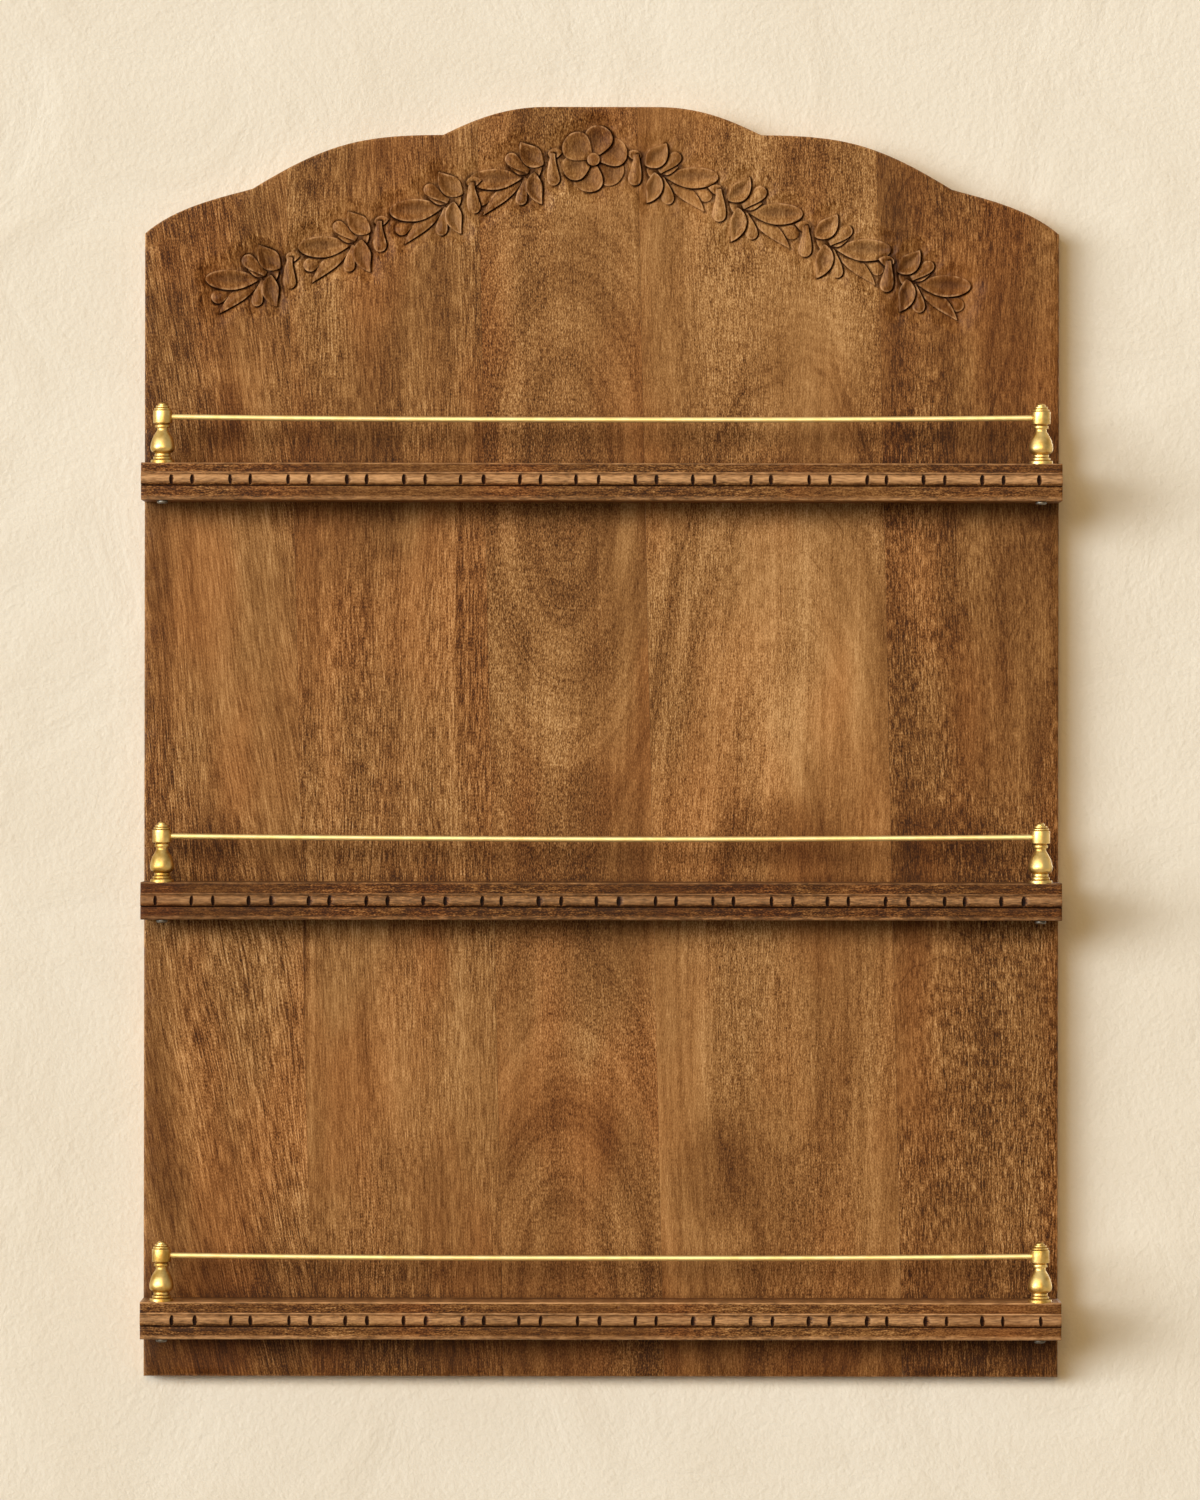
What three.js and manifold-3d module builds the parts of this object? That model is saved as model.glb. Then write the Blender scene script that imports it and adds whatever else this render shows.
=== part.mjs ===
// A wooden wall shelf. Five edge-glued boards make a back with a lobed top. Three solid shelves with
// a notched bead along the front are screwed to it from behind, and on each a brass rail between
// two turned posts keeps things from falling off. Two keyhole plates let into the back hang it.
// Millimetres, +Z up, the front faces -Y. The origin is on the back face, half way up and across.

import * as THREE from "three";
import { mergeVertices } from "three/addons/utils/BufferGeometryUtils.js";
import Module from "manifold-3d";

const wasm = await Module();
wasm.setup();

// The back
const panelWidth = 658;
const panelHeight = 914;
const boardThickness = 22;
const seamShares = [-0.662, -0.243, 0.107, 0.629]; // where the glue lines are, of the half width
const seamTilt = 0.0227; // sideways run of a glue line for each millimetre down it
const glueLine = 0.1;

// The lobed top edge. From each top corner a lobe runs in to a dip, the next from the dip to a
// cusp, and the last from the cusp to the crown.
const cornerDrop = 91.6; // below the crown, as the next two are
const dipDrop = 59.3;
const cuspDrop = 20.3;
const dipShare = 0.765; // place across, of the half width, as the next two are
const cuspShare = 0.348;
const crownFlatShare = 0.12;
const cornerSlope = 0.88; // of the curve where it leaves a point or comes to one
const dipSlopeOutside = 0.28;
const dipSlopeInside = 0.62;
const cuspSlope = 0.5;

// The shelves
const shelfDepth = 54;
const shelfThickness = 27;
const upperShelfDrop = 258; // from the crown of the back down to the upper shelf's top
const lowerShelfMargin = 29.7; // from the foot of the back up to the lower shelf's underside

// The moulded front edge: a flat band, a quirk, a bead, a fillet and a flat band. Heights are
// shares of the shelf's thickness, from the bottom up.
const lowerBandShare = 0.335;
const quirkShare = 0.026;
const beadShare = 0.295;
const filletGrooveShare = 0.012;
const filletShare = 0.04;
const quirkDepth = 1.2;
const beadProud = 3;
const filletProud = 1.2;
const edgeEase = 1;

// The notches in the bead, in pairs: a steep wall on the left and a floor that rises to the right
const notchDepth = 2.4;
const notchWallRun = 1.2;
const notchFloorRun = 4.2;
const notchPairStep = 15.1;
const notchGapStep = 26.2;
const notchEndMargin = 6;
const upperFirstNotch = 22; // from the shelf's left end, as the next two are
const middleFirstNotch = 10.3;
const lowerFirstNotch = 22.9;

// The posts, turned, from the shelf up
const postInset = 15.1; // from the shelf's end to the post's axis
const postSetback = 11; // from the bead's crest to the post's axis
const postSeatDepth = 0.5; // how far the foot is let into the shelf
const footRadius = 8.8;
const footHeight = 6.5;
const bulbRadius = 8.6;
const neckRadius = 4.1;
const collarRadius = 5.5;
const collarHeight = 2.2;
const drumRadius = 6.8;
const drumHeight = 9.4;
const capRadius = 4.5;
const capHeight = 3;
const buttonRadius = 2.2;
const buttonHeight = 2.7;

// The rail
const railDiameter = 4;
const railHeight = 32.7; // from the shelf's top to the rail's axis
const railSag = 1.6; // at mid-length, under the rod's own weight
const socketDepth = 5;

// The machine screw that holds each post, from under the shelf
const postScrewDiameter = 4;
const postScrewGrip = 9; // length above the shelf's top
const postScrewHeadDiameter = 8;
const postScrewHeadHeight = 2.2;

// The wood screws from behind into each shelf, one to a board
const shelfScrewDiameter = 4.5;
const shelfScrewHeadDiameter = 9;
const shelfScrewGrip = 24; // length in the shelf
const screwPoint = 5;

// The keyhole plates
const hangerInset = 59; // from the back's side to the plate's middle
const hangerLength = 50;
const hangerWidth = 19;
const hangerThickness = 2;
const keyholeDiameter = 10;
const keyholeSlotWidth = 5.2;
const keyholeTravel = 11; // from the round hole's middle up to the slot's end
const pocketDepth = 9; // behind the plate, for the head of the wall's screw
const pocketMargin = 1.5; // round the keyhole
const hangerScrewDiameter = 3;
const hangerScrewHeadDiameter = 6;
const hangerScrewGrip = 12; // length in the board
const hangerScrewInset = 6; // from the plate's end to the screw's axis
const smallScrewPoint = 3;

// Clearances
const seatGap = 0.1; // between faces that bear on each other
const screwGap = 0.3; // round a screw and past its point
const recessGap = 0.3; // round a post's foot or a plate in its recess
const socketGap = 0.2; // round the rail in its socket

// How finely the curves are drawn
const lobeSteps = 7;
const beadSteps = 6;
const postSides = 20;
const railSides = 10;
const railSteps = 12;
const screwSides = 10;
const roundEndSides = 12;

const halfWidth = panelWidth / 2;
const crownLevel = panelHeight / 2;
const baseLevel = -panelHeight / 2;
const boardFront = -boardThickness;
const beadCrest = boardFront - shelfDepth;
const bandFace = beadCrest + beadProud;
const postAxisX = halfWidth - postInset;
const postAxisY = beadCrest + postSetback;
const postBase = seatGap - postSeatDepth;
const upperShelfLevel = crownLevel - upperShelfDrop;
const lowerShelfLevel = baseLevel + lowerShelfMargin + shelfThickness;
const middleShelfLevel = (upperShelfLevel + lowerShelfLevel) / 2;
// The plates are half way between the upper shelf and the back's top corners
const hangerLevel = (upperShelfLevel + crownLevel - cornerDrop) / 2;
const beyond = 2; // how far a cutting shape runs past what it cuts

const shelves = [
  { place: "upper", level: upperShelfLevel, firstNotch: upperFirstNotch, pairFirst: true },
  { place: "middle", level: middleShelfLevel, firstNotch: middleFirstNotch, pairFirst: false },
  { place: "lower", level: lowerShelfLevel, firstNotch: lowerFirstNotch, pairFirst: true },
];
const hands = [
  { hand: "left", sign: -1 },
  { hand: "right", sign: 1 },
];

const wood = { color: 0x8f6238, roughness: 0.55, metalness: 0 };
const brass = { color: 0xc8a552, roughness: 0.3, metalness: 1 };
const steel = { color: 0x9c9c9a, roughness: 0.4, metalness: 1 };

const wallShelf = new THREE.Group();

function addPiece(name, solid, look) {
  const mesh = new THREE.Mesh(geometryFrom(solid), new THREE.MeshStandardMaterial(look));
  mesh.name = name;
  wallShelf.add(mesh);
}

// A closed three.js geometry as a solid that can be cut and joined
function solidFrom(geometry) {
  const bare = geometry.clone();
  bare.deleteAttribute("normal");
  bare.deleteAttribute("uv");
  const merged = mergeVertices(bare, 1e-4);
  return new wasm.Manifold(
    new wasm.Mesh({
      numProp: 3,
      vertProperties: merged.attributes.position.array,
      triVerts: new Uint32Array(merged.index.array),
    }),
  );
}

// A solid as a three.js geometry again
function geometryFrom(solid) {
  const mesh = solid.getMesh();
  const geometry = new THREE.BufferGeometry();
  geometry.setAttribute("position", new THREE.BufferAttribute(mesh.vertProperties, 3));
  geometry.setIndex(new THREE.BufferAttribute(mesh.triVerts, 1));
  geometry.computeVertexNormals();
  return geometry;
}

// A turned solid about +Z from its profile of [radius, height] points, bottom to top
function turned(profile, sideCount) {
  const points = profile.map(([radius, height]) => new THREE.Vector2(radius, height));
  return solidFrom(new THREE.LatheGeometry(points, sideCount).rotateX(Math.PI / 2));
}

// A round bar about +Z between two heights
function bar(radius, from, to, sideCount) {
  return turned([[0, from], [radius, from], [radius, to], [0, to]], sideCount);
}

// A solid built about +Z, turned so that its top faces the wall (+Y)
function facingWall(solid) {
  return solid.rotate([-90, 0, 0]);
}

// A shape drawn across (x) and up (z), between two depths, the front one given first
function upright(shape, from, to, curveSegments) {
  const options = { depth: to - from, bevelEnabled: false, curveSegments };
  return solidFrom(
    new THREE.ExtrudeGeometry(shape, options).rotateX(Math.PI / 2).translate(0, to, 0),
  );
}

// A box between two corners
function block(low, high) {
  return wasm.Manifold.cube(high.map((value, axis) => value - low[axis])).translate(low);
}

// How far across a glue line is at a level. Numbers 0 and 5 are the back's own sides.
function seamAt(number, level) {
  if (number === 0) return -halfWidth;
  if (number > seamShares.length) return halfWidth;
  return seamShares[number - 1] * halfWidth - level * seamTilt;
}

function boardMiddle(number, level) {
  return (seamAt(number, level) + seamAt(number + 1, level)) / 2;
}

// One lobe of the top edge, as the four points of a curve between an outer and an inner end
function lobe(outer, inner, slopeOuter, slopeInner, reachOuter, reachInner) {
  const run = outer[0] - inner[0];
  return [
    outer,
    [outer[0] - reachOuter * run, outer[1] + slopeOuter * reachOuter * run],
    [inner[0] + reachInner * run, inner[1] - slopeInner * reachInner * run],
    inner,
  ];
}

function backOutline() {
  const corner = [halfWidth, crownLevel - cornerDrop];
  const dip = [dipShare * halfWidth, crownLevel - dipDrop];
  const cusp = [cuspShare * halfWidth, crownLevel - cuspDrop];
  const crown = [crownFlatShare * halfWidth, crownLevel];
  const right = [
    lobe(corner, dip, cornerSlope, dipSlopeOutside, 0.285, 0.285),
    lobe(dip, cusp, dipSlopeInside, 0, 0.39, 0.42),
    lobe(cusp, crown, cuspSlope, 0, 0.31, 0.4),
  ];
  const left = right.map((curve) => curve.map(([x, z]) => [-x, z]).reverse()).reverse();
  const shape = new THREE.Shape();
  shape.moveTo(-halfWidth, baseLevel);
  shape.lineTo(halfWidth, baseLevel);
  for (const curve of [...right, ...left]) {
    shape.lineTo(...curve[0]);
    shape.bezierCurveTo(...curve.slice(1).flat());
  }
  return shape;
}

// The strip of the glued blank that one board fills
function boardStrip(number) {
  const above = crownLevel + beyond;
  const below = baseLevel - beyond;
  const left = number === 0 ? -beyond : glueLine / 2;
  const right = number === seamShares.length ? beyond : -glueLine / 2;
  const shape = new THREE.Shape();
  shape.moveTo(seamAt(number, below) + left, below);
  shape.lineTo(seamAt(number + 1, below) + right, below);
  shape.lineTo(seamAt(number + 1, above) + right, above);
  shape.lineTo(seamAt(number, above) + left, above);
  return upright(shape, boardFront - beyond, beyond, 1);
}

// A countersunk wood screw about +Z, its head's face at height 0 and its point below
function woodScrew(diameter, headDiameter, length, point) {
  const radius = diameter / 2;
  const headRadius = headDiameter / 2;
  return turned(
    [[0, -length], [radius, point - length], [radius, radius - headRadius], [headRadius, 0], [0, 0]],
    screwSides,
  ).subtract(crossRecess(headDiameter));
}

// The hole for that screw
function woodScrewHole(diameter, headDiameter, length) {
  const radius = diameter / 2 + screwGap;
  const headRadius = headDiameter / 2 + screwGap;
  const end = -length - screwGap;
  return turned(
    [
      [0, end],
      [radius, end],
      [radius, radius - headRadius],
      [headRadius, 0],
      [headRadius, beyond],
      [0, beyond],
    ],
    screwSides,
  );
}

// The cross recess in a screw's head, at height 0 and down
function crossRecess(headDiameter) {
  const arm = headDiameter * 0.27;
  const half = headDiameter * 0.07;
  const depth = headDiameter * 0.16;
  return block([-arm, -half, -depth], [arm, half, beyond]).add(
    block([-half, -arm, -depth], [half, arm, beyond]),
  );
}

function postProfile() {
  const drumBase = railHeight - drumHeight / 2;
  const drumTop = railHeight + drumHeight / 2;
  const collarBase = drumBase - 0.8 - collarHeight;
  const stem = collarBase - footHeight; // the bulb and the neck share this height
  const capTop = drumTop + capHeight;
  return [
    [0, postBase],
    [footRadius, postBase],
    [footRadius, footHeight * 0.36],
    [footRadius * 0.83, footHeight * 0.38],
    [footRadius * 0.83, footHeight * 0.66],
    [footRadius * 0.66, footHeight * 0.69],
    [footRadius * 0.64, footHeight],
    [bulbRadius * 0.84, footHeight + stem * 0.11],
    [bulbRadius, footHeight + stem * 0.3],
    [bulbRadius * 0.92, footHeight + stem * 0.45],
    [bulbRadius * 0.64, footHeight + stem * 0.65],
    [neckRadius, footHeight + stem * 0.86],
    [neckRadius + 0.4, footHeight + stem * 0.98],
    [collarRadius, collarBase],
    [collarRadius, collarBase + collarHeight],
    [collarRadius - 0.5, collarBase + collarHeight],
    [collarRadius - 0.5, drumBase],
    [drumRadius, drumBase],
    [drumRadius, drumTop - 0.6],
    [drumRadius - 0.5, drumTop],
    [capRadius, drumTop],
    [capRadius, capTop],
    [buttonRadius, capTop + 0.1],
    [buttonRadius * 0.9, capTop + buttonHeight * 0.5],
    [0, capTop + buttonHeight],
  ];
}

// A post about +Z, the shelf's top at height 0 and its socket facing +X
function post() {
  const socket = bar(railDiameter / 2 + socketGap, 0, socketDepth + beyond, railSides)
    .rotate([0, 90, 0])
    .translate([drumRadius - socketDepth, 0, railHeight]);
  const boreRadius = postScrewDiameter / 2 + screwGap;
  const bore = bar(boreRadius, -beyond, postScrewGrip + screwGap, screwSides);
  return turned(postProfile(), postSides).subtract(socket).subtract(bore);
}

// A pan-head machine screw about +Z, its head below height 0 and its shank above
function panScrew(diameter, headDiameter, headHeight, length) {
  const recess = crossRecess(headDiameter).rotate([180, 0, 0]).translate([0, 0, -headHeight]);
  return turned(
    [
      [0, -headHeight],
      [headDiameter * 0.3, -headHeight],
      [headDiameter * 0.45, -headHeight * 0.75],
      [headDiameter / 2, -headHeight * 0.35],
      [headDiameter / 2, 0],
      [diameter / 2, 0],
      [diameter / 2, length],
      [0, length],
    ],
    screwSides,
  ).subtract(recess);
}

// The rail along X, its ends at height 0 and its middle lower
function rail() {
  const length = 2 * (postAxisX - drumRadius + socketDepth - screwGap);
  const radius = railDiameter / 2;
  const rod = new THREE.CylinderGeometry(radius, radius, length, railSides, railSteps);
  rod.rotateZ(Math.PI / 2);
  const points = rod.attributes.position;
  for (let i = 0; i < points.count; i += 1) {
    const share = (2 * points.getX(i)) / length;
    points.setZ(i, points.getZ(i) - railSag * (1 - share * share));
  }
  return solidFrom(rod);
}

// The levels of the moulding, above the shelf's underside
function mouldingLevels() {
  const quirkBase = shelfThickness * lowerBandShare;
  const beadBase = quirkBase + shelfThickness * quirkShare;
  const beadTop = beadBase + shelfThickness * beadShare;
  const filletBase = beadTop + shelfThickness * filletGrooveShare;
  const filletTop = filletBase + shelfThickness * filletShare;
  return { quirkBase, beadBase, beadTop, filletBase, filletTop };
}

// The end view of a shelf, as distances in front of the wall and heights above its underside
function shelfProfile() {
  const { quirkBase, beadBase, beadTop, filletBase, filletTop } = mouldingLevels();
  const back = seatGap - boardFront;
  const face = -bandFace;
  const points = [
    [back, 0],
    [face - edgeEase, 0],
    [face, edgeEase],
    [face, quirkBase],
    [face - quirkDepth, quirkBase],
    [face - quirkDepth, beadBase],
  ];
  for (let step = 0; step <= beadSteps; step += 1) {
    const turn = (Math.PI * step) / beadSteps;
    const rise = ((beadTop - beadBase) * (1 - Math.cos(turn))) / 2;
    points.push([face + beadProud * Math.sin(turn), beadBase + rise]);
  }
  points.push(
    [face, filletBase],
    [face + filletProud, filletBase],
    [face + filletProud, filletTop],
    [face, filletTop],
    [face, shelfThickness - edgeEase],
    [face - edgeEase, shelfThickness],
    [back, shelfThickness],
  );
  return points;
}

// What cuts one notch, the notch's deepest line at x = 0 and the shelf's top at height 0
function notchCutter() {
  const { beadBase, beadTop, filletBase } = mouldingLevels();
  const reach = (notchDepth + beyond) / notchDepth; // the flanks are drawn on past the crest
  const shape = new THREE.Shape();
  shape.moveTo(0, beadCrest + notchDepth);
  shape.lineTo(-notchWallRun * reach, beadCrest - beyond);
  shape.lineTo(notchFloorRun * reach, beadCrest - beyond);
  const low = beadBase - (shelfThickness * quirkShare) / 2;
  const high = (beadTop + filletBase) / 2;
  const options = { depth: high - low, bevelEnabled: false };
  return solidFrom(new THREE.ExtrudeGeometry(shape, options)).translate([
    0,
    0,
    low - shelfThickness,
  ]);
}

// A shelf with its top at height 0, its notches cut
function shelf(firstNotch, pairFirst) {
  const section = new THREE.Shape(shelfProfile().map(([out, up]) => new THREE.Vector2(out, up)));
  const drawn = new THREE.ExtrudeGeometry(section, { depth: panelWidth, bevelEnabled: false });
  // Out of the wall is -Y, up is +Z, and the section is drawn from the right end to the left
  const turn = new THREE.Matrix4().makeBasis(
    new THREE.Vector3(0, -1, 0),
    new THREE.Vector3(0, 0, 1),
    new THREE.Vector3(-1, 0, 0),
  );
  const plain = solidFrom(drawn.applyMatrix4(turn)).translate([halfWidth, 0, -shelfThickness]);

  const cutter = notchCutter();
  const cutters = [];
  let place = firstNotch;
  let pair = pairFirst;
  while (place < panelWidth - notchEndMargin) {
    cutters.push(cutter.translate([place - halfWidth, 0, 0]));
    place += pair ? notchPairStep : notchGapStep;
    pair = !pair;
  }
  return plain.subtract(wasm.Manifold.union(cutters));
}

// An upright block with round ends, drawn about the centres of its lower and upper ends
function roundEnded(radius, low, high, from, to) {
  const shape = new THREE.Shape();
  shape.absarc(0, low, radius, Math.PI, 2 * Math.PI);
  shape.absarc(0, high, radius, 0, Math.PI);
  return upright(shape, from, to, roundEndSides);
}

const back = upright(backOutline(), boardFront, 0, lobeSteps);
const boards = [...seamShares, 1].map((share, number) => boardStrip(number).intersect(back));

// The shelves, each with a wood screw from every board and its gallery
const woodScrewLength = boardThickness + shelfScrewGrip;
const machineScrewLength = shelfThickness + seatGap + postScrewGrip;
for (const { place, level, firstNotch, pairFirst } of shelves) {
  let plank = shelf(firstNotch, pairFirst).translate([0, 0, level]);

  const screwLevel = level - shelfThickness / 2;
  const sizes = [shelfScrewDiameter, shelfScrewHeadDiameter, woodScrewLength];
  for (const number of boards.keys()) {
    const at = [boardMiddle(number, screwLevel), 0, screwLevel];
    const screw = facingWall(woodScrew(...sizes, screwPoint)).translate(at);
    const hole = facingWall(woodScrewHole(...sizes)).translate(at);
    boards[number] = boards[number].subtract(hole);
    plank = plank.subtract(hole);
    addPiece(`shelf_screw_${place}_${number + 1}`, screw, steel);
  }

  for (const { hand, sign } of hands) {
    const foot = [sign * postAxisX, postAxisY, level];
    const seat = bar(footRadius + recessGap, -postSeatDepth, beyond, postSides);
    const holeRadius = postScrewDiameter / 2 + screwGap;
    const hole = bar(holeRadius, -shelfThickness - beyond, beyond, screwSides);
    const screw = panScrew(
      postScrewDiameter,
      postScrewHeadDiameter,
      postScrewHeadHeight,
      machineScrewLength,
    );
    const head = [sign * postAxisX, postAxisY, level - shelfThickness - seatGap];
    plank = plank.subtract(seat.add(hole).translate(foot));
    addPiece(`post_${place}_${hand}`, post().rotate([0, 0, 90 + 90 * sign]).translate(foot), brass);
    addPiece(`post_screw_${place}_${hand}`, screw.translate(head), steel);
  }

  addPiece(`shelf_${place}`, plank, wood);
  addPiece(`rail_${place}`, rail().translate([0, postAxisY, level + railHeight]), brass);
}

// The keyhole plates, each with its recess, the pocket behind its keyhole, and two screws
const plateBack = -hangerThickness; // the plate's inner face
const plateEnd = (hangerLength - hangerWidth) / 2;
const keyholeEnd = keyholeTravel / 2;
const keyholeRadius = keyholeDiameter / 2;
for (const { hand, sign } of hands) {
  const at = [sign * (halfWidth - hangerInset), 0, hangerLevel];
  const slot = roundEnded(keyholeSlotWidth / 2, -keyholeEnd, keyholeEnd, plateBack - beyond, beyond);
  const entry = facingWall(bar(keyholeRadius, plateBack - beyond, beyond, 2 * roundEndSides));
  const keyhole = slot.add(entry.translate([0, 0, -keyholeEnd]));
  let plate = roundEnded(hangerWidth / 2, -plateEnd, plateEnd, plateBack, 0).subtract(keyhole);

  const recessRadius = hangerWidth / 2 + recessGap;
  const pocketRadius = keyholeRadius + pocketMargin;
  let room = roundEnded(recessRadius, -plateEnd, plateEnd, plateBack - seatGap, beyond).add(
    roundEnded(pocketRadius, -keyholeEnd, keyholeEnd, plateBack - pocketDepth, 0),
  );

  const sizes = [hangerScrewDiameter, hangerScrewHeadDiameter, hangerThickness + hangerScrewGrip];
  for (const [end, way] of [["lower", -1], ["upper", 1]]) {
    const offset = [0, 0, way * (hangerLength / 2 - hangerScrewInset)];
    const screw = facingWall(woodScrew(...sizes, smallScrewPoint)).translate(offset);
    const hole = facingWall(woodScrewHole(...sizes)).translate(offset);
    plate = plate.subtract(hole);
    room = room.add(hole);
    addPiece(`hanger_screw_${hand}_${end}`, screw.translate(at), steel);
  }

  for (const number of boards.keys()) {
    boards[number] = boards[number].subtract(room.translate(at));
  }
  addPiece(`hanger_${hand}`, plate.translate(at), brass);
}

for (const [number, board] of boards.entries()) {
  addPiece(`back_board_${number + 1}`, board, wood);
}

export default wallShelf;
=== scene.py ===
import math
import random

import bpy
import numpy as np
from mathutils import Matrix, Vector, geometry


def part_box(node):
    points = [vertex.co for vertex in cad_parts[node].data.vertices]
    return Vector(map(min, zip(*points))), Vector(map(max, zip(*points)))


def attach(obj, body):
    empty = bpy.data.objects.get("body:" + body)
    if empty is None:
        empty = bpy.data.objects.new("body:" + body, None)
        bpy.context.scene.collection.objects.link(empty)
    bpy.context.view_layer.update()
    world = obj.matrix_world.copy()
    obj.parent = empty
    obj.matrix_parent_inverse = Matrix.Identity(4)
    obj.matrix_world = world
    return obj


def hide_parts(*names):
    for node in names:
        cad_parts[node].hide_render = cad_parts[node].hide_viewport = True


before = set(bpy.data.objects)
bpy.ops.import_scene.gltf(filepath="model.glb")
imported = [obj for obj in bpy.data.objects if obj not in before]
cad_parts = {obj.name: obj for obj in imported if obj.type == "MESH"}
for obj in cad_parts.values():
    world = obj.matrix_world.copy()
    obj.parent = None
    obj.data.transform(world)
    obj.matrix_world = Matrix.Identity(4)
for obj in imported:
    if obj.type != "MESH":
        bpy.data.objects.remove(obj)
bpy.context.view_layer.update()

mm = 0.001
dice = random.Random(26)


# Shader sums

class Value:             # a node's output that can stand in an expression
    def __init__(self, shader, socket):
        self.shader = shader
        self.socket = socket

    def __add__(self, other):
        return self.shader.math("ADD", self, other)

    def __radd__(self, other):
        return self.shader.math("ADD", other, self)

    def __sub__(self, other):
        return self.shader.math("SUBTRACT", self, other)

    def __rsub__(self, other):
        return self.shader.math("SUBTRACT", other, self)

    def __mul__(self, other):
        return self.shader.math("MULTIPLY", self, other)

    def __rmul__(self, other):
        return self.shader.math("MULTIPLY", other, self)


class Shader:            # the nodes of a material or of the world
    def __init__(self, owner):
        self.owner = owner
        owner.use_nodes = True
        self.tree = owner.node_tree
        self.tree.nodes.clear()

    def node(self, kind, settings=None, sockets=None, output=0):
        made = self.tree.nodes.new("ShaderNode" + kind)
        for name, setting in (settings or {}).items():
            if name == "stops":
                self.setStops(made.color_ramp.elements, setting)
            else:
                setattr(made, name, setting)
        for name, value in (sockets or {}).items():
            if isinstance(value, Value):
                self.tree.links.new(value.socket, made.inputs[name])
            else:
                made.inputs[name].default_value = value
        return Value(self, made.outputs[output]) if made.outputs else None

    def setStops(self, elements, stops):
        while len(elements) < len(stops):
            elements.new(1.0)
        for element, (place, colour) in zip(elements, stops):
            element.position = place
            element.color = colour

    def math(self, operation, *values):
        return self.node("Math", {"operation": operation}, dict(enumerate(values)))

    def place(self):                         # of each point on its own object
        return self.node("TexCoord", None, None, "Object")

    def scaled(self, vector, scale):
        return self.node("VectorMath", {"operation": "SCALE"}, {0: vector, 3: scale})

    def axes(self, vector):
        return [self.node("SeparateXYZ", None, {0: vector}, axis) for axis in range(3)]

    def vector(self, x, y, z):
        return self.node("CombineXYZ", None, {0: x, 1: y, 2: z})

    def noise(self, vector, detail=2.0, roughness=0.5, distortion=0.0):
        sockets = {"Vector": vector, "Scale": 1.0, "Detail": detail, "Roughness": roughness,
                   "Distortion": distortion}
        return self.node("TexNoise", None, sockets, 0)

    def line(self, along, detail=2.0, roughness=0.5):        # noise on one axis
        sockets = {"W": along, "Scale": 1.0, "Detail": detail, "Roughness": roughness}
        return self.node("TexNoise", {"noise_dimensions": "1D"}, sockets, 0)

    def ease(self, value, low, high, start=0.0, end=1.0):    # soft step between two values
        sockets = {0: value, 1: low, 2: high, 3: start, 4: end}
        return self.node("MapRange", {"interpolation_type": "SMOOTHSTEP"}, sockets)

    def mixColour(self, share, first, second, blend="MIX"):
        settings = {"data_type": "RGBA", "blend_type": blend}
        return self.node("Mix", settings, {0: share, 6: first, 7: second}, 2)

    def share(self, name):                   # a number that addShare left on the points
        return self.node("Attribute", {"attribute_name": name}, None, 2)

    def ray(self, kind):
        return self.node("LightPath", None, None, kind)

    def bump(self, strength, distance, height):
        return self.node("Bump", None, {"Strength": strength, "Distance": distance, "Height": height})

    def blend(self, share, first, second):   # of two surfaces
        return self.node("MixShader", None, {0: share, 1: first, 2: second})

    def finish(self, surface, kind="OutputMaterial"):
        self.node(kind, None, {"Surface": surface})
        return self.owner


def newMaterial(name):
    return Shader(bpy.data.materials.new(name))


def linear(share):                           # one channel of a screen colour, as light
    return share / 12.92 if share < 0.04045 else ((share + 0.055) / 1.055) ** 2.4


def paint(red, green, blue):                 # screen colour, 0 to 255, as a shader colour
    return [linear(value / 255) for value in (red, green, blue)] + [1.0]


# Mesh helpers

def addObject(name, data):
    made = bpy.data.objects.new(name, data)
    bpy.context.scene.collection.objects.link(made)
    return made


def addPiece(name, points, faces, material, replaced, sharpAngle):
    mesh = bpy.data.meshes.new(name)
    mesh.from_pydata([tuple(point) for point in points], [], [tuple(face) for face in faces])
    mesh.validate()
    piece = addObject(name, mesh)
    mesh.materials.append(material)
    mesh.shade_smooth()
    mesh.set_sharp_from_angle(angle=math.radians(sharpAngle))
    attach(piece, "root")
    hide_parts(replaced)
    return piece


def addShare(piece, name, shares):           # a number from 0 to 1 on each point, for the material
    layer = piece.data.attributes.new(name, "FLOAT", "POINT")
    layer.data.foreach_set("value", np.clip(shares, 0, 1))


def softNoise(x, z, size, seed):             # smooth noise from -1 to 1 with features of one size
    cells = 97                               # a square grid of numbers that repeats after this many
    grid = np.random.RandomState(seed).uniform(-1, 1, (cells, cells))
    across, up = x / size, z / size
    column, row = np.floor(across).astype(int), np.floor(up).astype(int)
    shareX, shareZ = easeStep(across - column, 0, 1), easeStep(up - row, 0, 1)
    corner = [[grid[(column + i) % cells, (row + j) % cells] for j in (0, 1)] for i in (0, 1)]
    low = corner[0][0] * (1 - shareX) + corner[1][0] * shareX
    high = corner[0][1] * (1 - shareX) + corner[1][1] * shareX
    return low * (1 - shareZ) + high * shareZ


def easeStep(values, low, high):
    share = np.clip((values - low) / (high - low), 0, 1)
    return share * share * (3 - 2 * share)


def halfRound(share):                        # the height of a half circle, for a share of its width
    return np.sqrt(np.clip(1 - (2 * share - 1) ** 2, 0, 1))


def rotated(x, y, angle):
    cosine, sine = math.cos(angle), math.sin(angle)
    return x * cosine - y * sine, x * sine + y * cosine


def bandFaces(start, count, inward=False):   # from one closed row of points to the next one
    faces = []
    for i in range(count):
        this, after = start + i, start + (i + 1) % count
        face = (this, after, after + count, this + count)
        faces.append((this, *face[:0:-1]) if inward else face)
    return faces


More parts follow.
